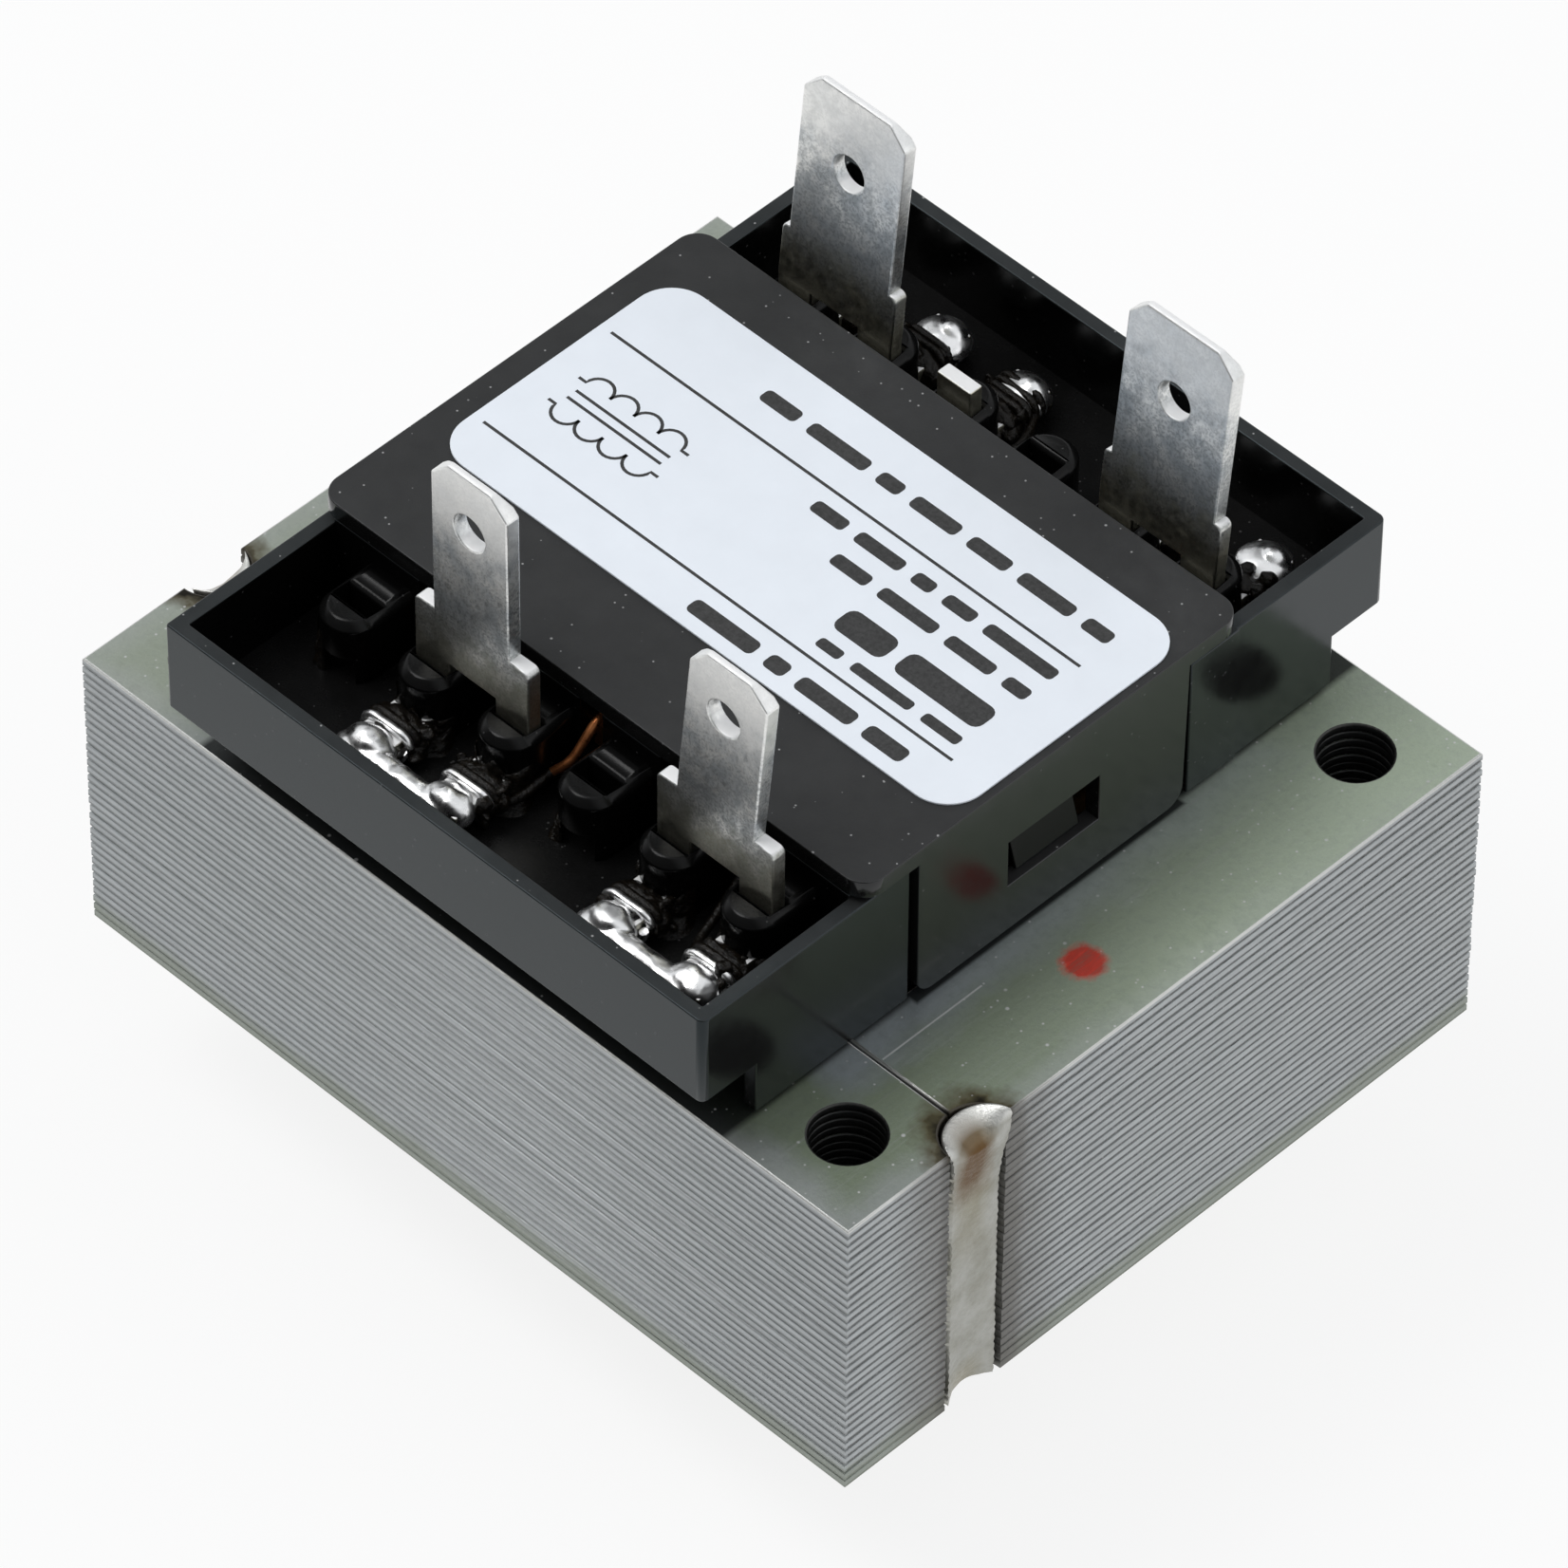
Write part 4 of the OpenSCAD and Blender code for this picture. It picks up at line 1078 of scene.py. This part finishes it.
def lead(name, node, finish, slot, d, shown, hidden, posts, start, bright):
    """Wire end that rises from its coil, then has flux on it and is wound round its tails."""
    side = 1 if shown[0][1] > 0 else -1
    bm = bmesh.new()
    add_tube(bm, smooth_path(shown, 6), d / 2, 10, BARE)
    add_tube(bm, smooth_path(shown[-1:] + hidden, 6), d / 2, 10, FLUXED)
    for x in posts:
        add_tube(bm, turn_round(x, side, start, d), d / 2, 8, FLUXED)
        add_tube(bm, turn_round(x, side, start + d, d), d / 2, 8, TINNED if bright else FLUXED)
    if len(posts) > 1:
        y = side * (TAIL_END - 0.45)
        add_tube(bm, [(posts[0], y, TAIL_Z), (posts[1], y, TAIL_Z)], d / 2, 10, TINNED)
    new_piece(name, bm, [finish, SOLDER, FLUX], slot, node, smooth_angle=60)


for name, node, x, post in (("coil_end_start", "primary_lead_start", -10, 1),
                            ("coil_end_link", "primary_lead_end", -5, 2)):
    lead(name, node, COPPER, "copper", 0.4,
         [(x, 10.35, 29.0), (x, 10.4, 30.8), (x, 11.6, 31.6)],
         [(x, 13.2, 31.2), (x + 0.2, 15.2, 30.6), (x + 1.2, 16.6, 30.5)], [POSTS[post]], 16.55, False)
for name, node, x, last, post, start in (
        ("fuse_wire_link", "fuse_lead_link", 0, [(-0.2, 15.4, 30.8), (-1.2, 17.4, 30.5)], 2, 17.4),
        ("fuse_wire_tab", "fuse_lead_tab", 5, [(5.2, 15.2, 30.8), (6.2, 16.6, 30.5)], 4, 16.55)):
    lead(name, node, TINNED_WIRE, "tinned_wire", 0.4,
         [(x, 8.3, 30.6), (x, 10.3, 30.7), (x, 11.4, 31.2)], [(x, 13.0, 31.4)] + last,
         [POSTS[post]], start, False)
lead("coil_end_left", "secondary_lead_left", COPPER, "copper", 0.45,
     [(0, -10.35, 31.6), (0, -10.6, 32.6), (0, -11.4, 32.9), (-0.1, -12.8, 31.5), (-0.7, -13.5, 30.7)],
     [(-0.9, -15.4, 30.3), (-1.3, -16.7, 30.5)], [POSTS[1], POSTS[2]], 16.35, True)
lead("coil_end_right", "secondary_lead_right", COPPER, "copper", 0.45,
     [(10, -10.35, 31.6), (10, -10.6, 32.4), (10, -11.4, 32.4)],
     [(10, -12.8, 31.2), (10.2, -14.0, 30.6), (10.6, -15.6, 30.3), (11.2, -16.7, 30.5)],
     [POSTS[4], POSTS[5]], 16.35, True)


# Solder and resin

def joint_balls(x, side, bridged):
    """Solder over the end of one tail: a smooth dome, or the end of a run along the rim."""
    if bridged:
        return [((x, side * 17.95, TAIL_Z + 0.05), (1.35, 1.0, 0.95)),
                ((x - 0.3, side * 18.4, TAIL_Z - 0.2), (1.3, 0.9, 0.8))]
    return [((x, side * 17.8, TAIL_Z - 0.05), (1.45, 1.4, 0.85)),
            ((x + 0.3, side * 18.1, TAIL_Z), (0.9, 0.8, 1.0))]


def bridge_balls(x0, x1, side):
    """Solder along the bar between two tails."""
    y = side * (TAIL_END - 0.2)
    count = 20
    return [((x0 + (x1 - x0) * i / count, y, TAIL_Z), (0.7, 0.7, 0.65)) for i in range(1, count)]


for name, posts, side, bridged in (("primary_solder_left", (0, 1), 1, False),
                                   ("primary_solder_right", (4, 5), 1, False),
                                   ("link_solder", (2,), 1, False),
                                   ("secondary_solder_left", (1, 2), -1, True),
                                   ("secondary_solder_right", (4, 5), -1, True)):
    balls = []
    for post in posts:
        balls += joint_balls(POSTS[post], side, bridged)
    if bridged:
        balls += bridge_balls(POSTS[posts[0]], POSTS[posts[1]], side)
    lump(name + "_run", balls, SOLDER, name, rounds=8, wobble=0.07 if bridged else 0.02)


def resin_rows(bm, x, side, start, end, height, reach, seed):
    """Outer and inner rows of a resin shell, from the floor up to a ragged edge."""
    outer, inner = [], []
    for r in range(RESIN_ROWS + 1):
        lift = r / RESIN_ROWS
        outer_row, inner_row = [], []
        for c in range(RESIN_COLUMNS + 1):
            share = c / RESIN_COLUMNS
            a = math.radians(start + (end - start) * share)
            place = Vector((math.sin(a) * 2.0, lift * 3.0, seed))
            fade = min(1.0, 6 * share, 6 * (1 - share))
            ragged = height * (0.72 + 0.5 * noise.noise(place * 1.3))
            z = FLOOR_Z - 0.05 + ragged * lift
            out = (0.1 + reach * (1 - lift) ** 3 + 0.16 * noise.noise(place * 3.1)) * fade
            radius = POST_W / 2 + max(out, -0.02) * (1.0 if lift < 0.98 else 0.0)
            for row, rad in ((outer_row, radius), (inner_row, POST_W / 2 - 0.1)):
                spot = (x + rad * math.sin(a), side * (NOSE_Y + rad * math.cos(a)), z)
                row.append(bm.verts.new(Vector(spot) * MM))
        outer.append(outer_row)
        inner.append(inner_row)
    return outer, inner


def resin(name, x, side, start, end, height, reach, seed):
    """Resin that has crept up the nose of a post: angles from the outward direction, towards +X."""
    bm = bmesh.new()
    outer, inner = resin_rows(bm, x, side, start, end, height, reach, seed)
    for sheet in (outer, inner):
        for lower, upper in zip(sheet, sheet[1:]):
            join_rows(bm, lower, upper)
    for last in (0, -1):
        join_rows(bm, outer[last], inner[last])
        join_rows(bm, [row[last] for row in outer], [row[last] for row in inner])
    bmesh.ops.recalc_face_normals(bm, faces=bm.faces)
    new_piece(name, bm, [FLUX], "solder", smooth_angle=80)


def resin_pool(name, x, side, seed):
    """Lumpy resin over a tail, between its post and its solder."""
    draw = random.Random(seed)
    balls = [((x, side * 16.05, FLOOR_Z + 0.75), (1.65, 0.95, 1.05))]
    for _ in range(26):
        out = (draw.uniform(-1.6, 1.6), side * draw.uniform(15.5, 17.4), draw.uniform(0.1, 1.7))
        radii = [draw.uniform(0.15, 0.45) for _ in range(3)]
        balls.append(((x + out[0], out[1], FLOOR_Z + out[2]), radii))
    lump(name, balls, FLUX, rounds=1, wobble=0.08, grain=3.0)


for index, start, end, height, reach in ((0, -110, -20, 3.0, 0.2), (1, -85, 85, 2.4, 0.9),
                                         (2, -85, 85, 2.2, 0.9), (3, -95, -30, 1.6, 0.3),
                                         (4, -85, 85, 2.0, 1.0), (5, -85, 85, 1.8, 0.9)):
    resin("resin_front_%d" % index, POSTS[index], -1, start, end, height, reach, 40 + index)
for index in (1, 2, 4, 5):
    resin_pool("resin_pool_%d" % index, POSTS[index], -1, 60 + index)
for index in (0, 1, 2, 4, 5):
    resin("resin_rear_%d" % index, POSTS[index], 1, -80, 80, 1.4, 0.8, 80 + index)
    # Dark glossy lumps over the rear tails as well, between posts and solder.
    resin_pool("dark_lump_back_%d" % index, POSTS[index], 1, 100 + index)


# Stage, light and camera

def floor_material():
    """Matte pale floor that the camera and reflections see as nearly white."""
    material = bpy.data.materials.new("floor")
    material.use_nodes = True
    tree = material.node_tree
    bsdf = tree.nodes["Principled BSDF"]
    bsdf.inputs["Base Color"].default_value = grey(0.86)
    bsdf.inputs["Roughness"].default_value = 0.9
    glow = add_node(tree, "Emission")
    rays = add_node(tree, "LightPath").outputs
    seen = add_node(tree, "Math", {0: rays["Is Camera Ray"], 1: rays["Is Glossy Ray"]}, operation="MAXIMUM")
    share = add_node(tree, "Math", {0: seen.outputs[0], 1: 0.85}, operation="MULTIPLY")
    blend = add_node(tree, "MixShader", {0: share.outputs[0], 1: bsdf.outputs[0], 2: glow.outputs[0]})
    feed(tree, tree.nodes["Material Output"].inputs["Surface"], blend.outputs[0])
    return material


def stage_floor():
    """Floor a hair below the part, which keeps its shadow."""
    bm = bmesh.new()
    bmesh.ops.create_grid(bm, x_segments=8, y_segments=8, size=1.5)
    mesh = bpy.data.meshes.new("floor")
    bm.to_mesh(mesh)
    bm.free()
    mesh.materials.append(floor_material())
    floor = bpy.data.objects.new("floor", mesh)
    floor.location.z = -0.00005
    bpy.context.scene.collection.objects.link(floor)


def toward(tree, direction, low, high, to_low, to_high):
    """Strength of the surroundings by how near they lie to a direction."""
    place = add_node(tree, "TexCoord").outputs["Generated"]
    near = add_node(tree, "VectorMath", {0: place, 1: direction}, operation="DOT_PRODUCT").outputs["Value"]
    return add_node(tree, "MapRange", {0: near, 1: low, 2: high, 3: to_low, 4: to_high}).outputs[0]


def world_light():
    """Surroundings, dim in front of the part and in a patch high up behind it, white to the camera."""
    world = bpy.data.worlds.new("surroundings")
    bpy.context.scene.world = world
    world.use_nodes = True
    tree = world.node_tree
    patch = toward(tree, (-0.48, 0.49, 0.73), 0.92, 0.985, 0.86, 0.1)
    band = toward(tree, (0, -1, 0), 0.2, 0.55, 1.0, 0.18)
    level = add_node(tree, "Math", {0: patch, 1: band}, operation="MULTIPLY")
    room = tree.nodes["Background"]
    feed(tree, room.inputs["Color"], grey(1.0, (0.98, 1.0, 1.02)))
    feed(tree, room.inputs["Strength"], level.outputs[0])
    white = add_node(tree, "Background", {"Color": grey(1.0), "Strength": 1.0})
    rays = add_node(tree, "LightPath").outputs
    blend = add_node(tree, "MixShader", {0: rays["Is Camera Ray"], 1: room.outputs[0], 2: white.outputs[0]})
    feed(tree, tree.nodes["World Output"].inputs["Surface"], blend.outputs[0])


def soft_lamp(name, place, size, power):
    """Square softbox that looks at the middle of the part."""
    data = bpy.data.lights.new(name, "AREA")
    data.size = size
    data.energy = power
    lamp = bpy.data.objects.new(name, data)
    lamp.location = place
    lamp.rotation_euler = (Vector((0, 0, 0.025)) - lamp.location).to_track_quat("-Z", "Y").to_euler()
    bpy.context.scene.collection.objects.link(lamp)


def photo_camera():
    """Long lens from the front right, as in the photograph."""
    data = bpy.data.cameras.new("camera")
    data.sensor_width = 36
    data.lens = LENS
    data.clip_start = 0.01
    data.clip_end = 20
    camera = bpy.data.objects.new("camera", data)
    place = Vector(CAMERA_AT) * MM
    aim = Vector(LOOK_AT) * MM - place
    turn = aim.to_track_quat("-Z", "Y").to_matrix().to_4x4()
    roll = Matrix.Rotation(math.radians(ROLL), 4, "Z")
    camera.matrix_world = Matrix.Translation(place) @ turn @ roll
    bpy.context.scene.collection.objects.link(camera)
    bpy.context.scene.camera = camera


stage_floor()
world_light()
soft_lamp("key", place=(-0.4, -0.33, 0.92), size=0.5, power=4.8)
soft_lamp("fill", place=(0.8, 0.35, 0.5), size=0.5, power=0.4)
photo_camera()
bpy.context.scene.view_settings.view_transform = "Standard"
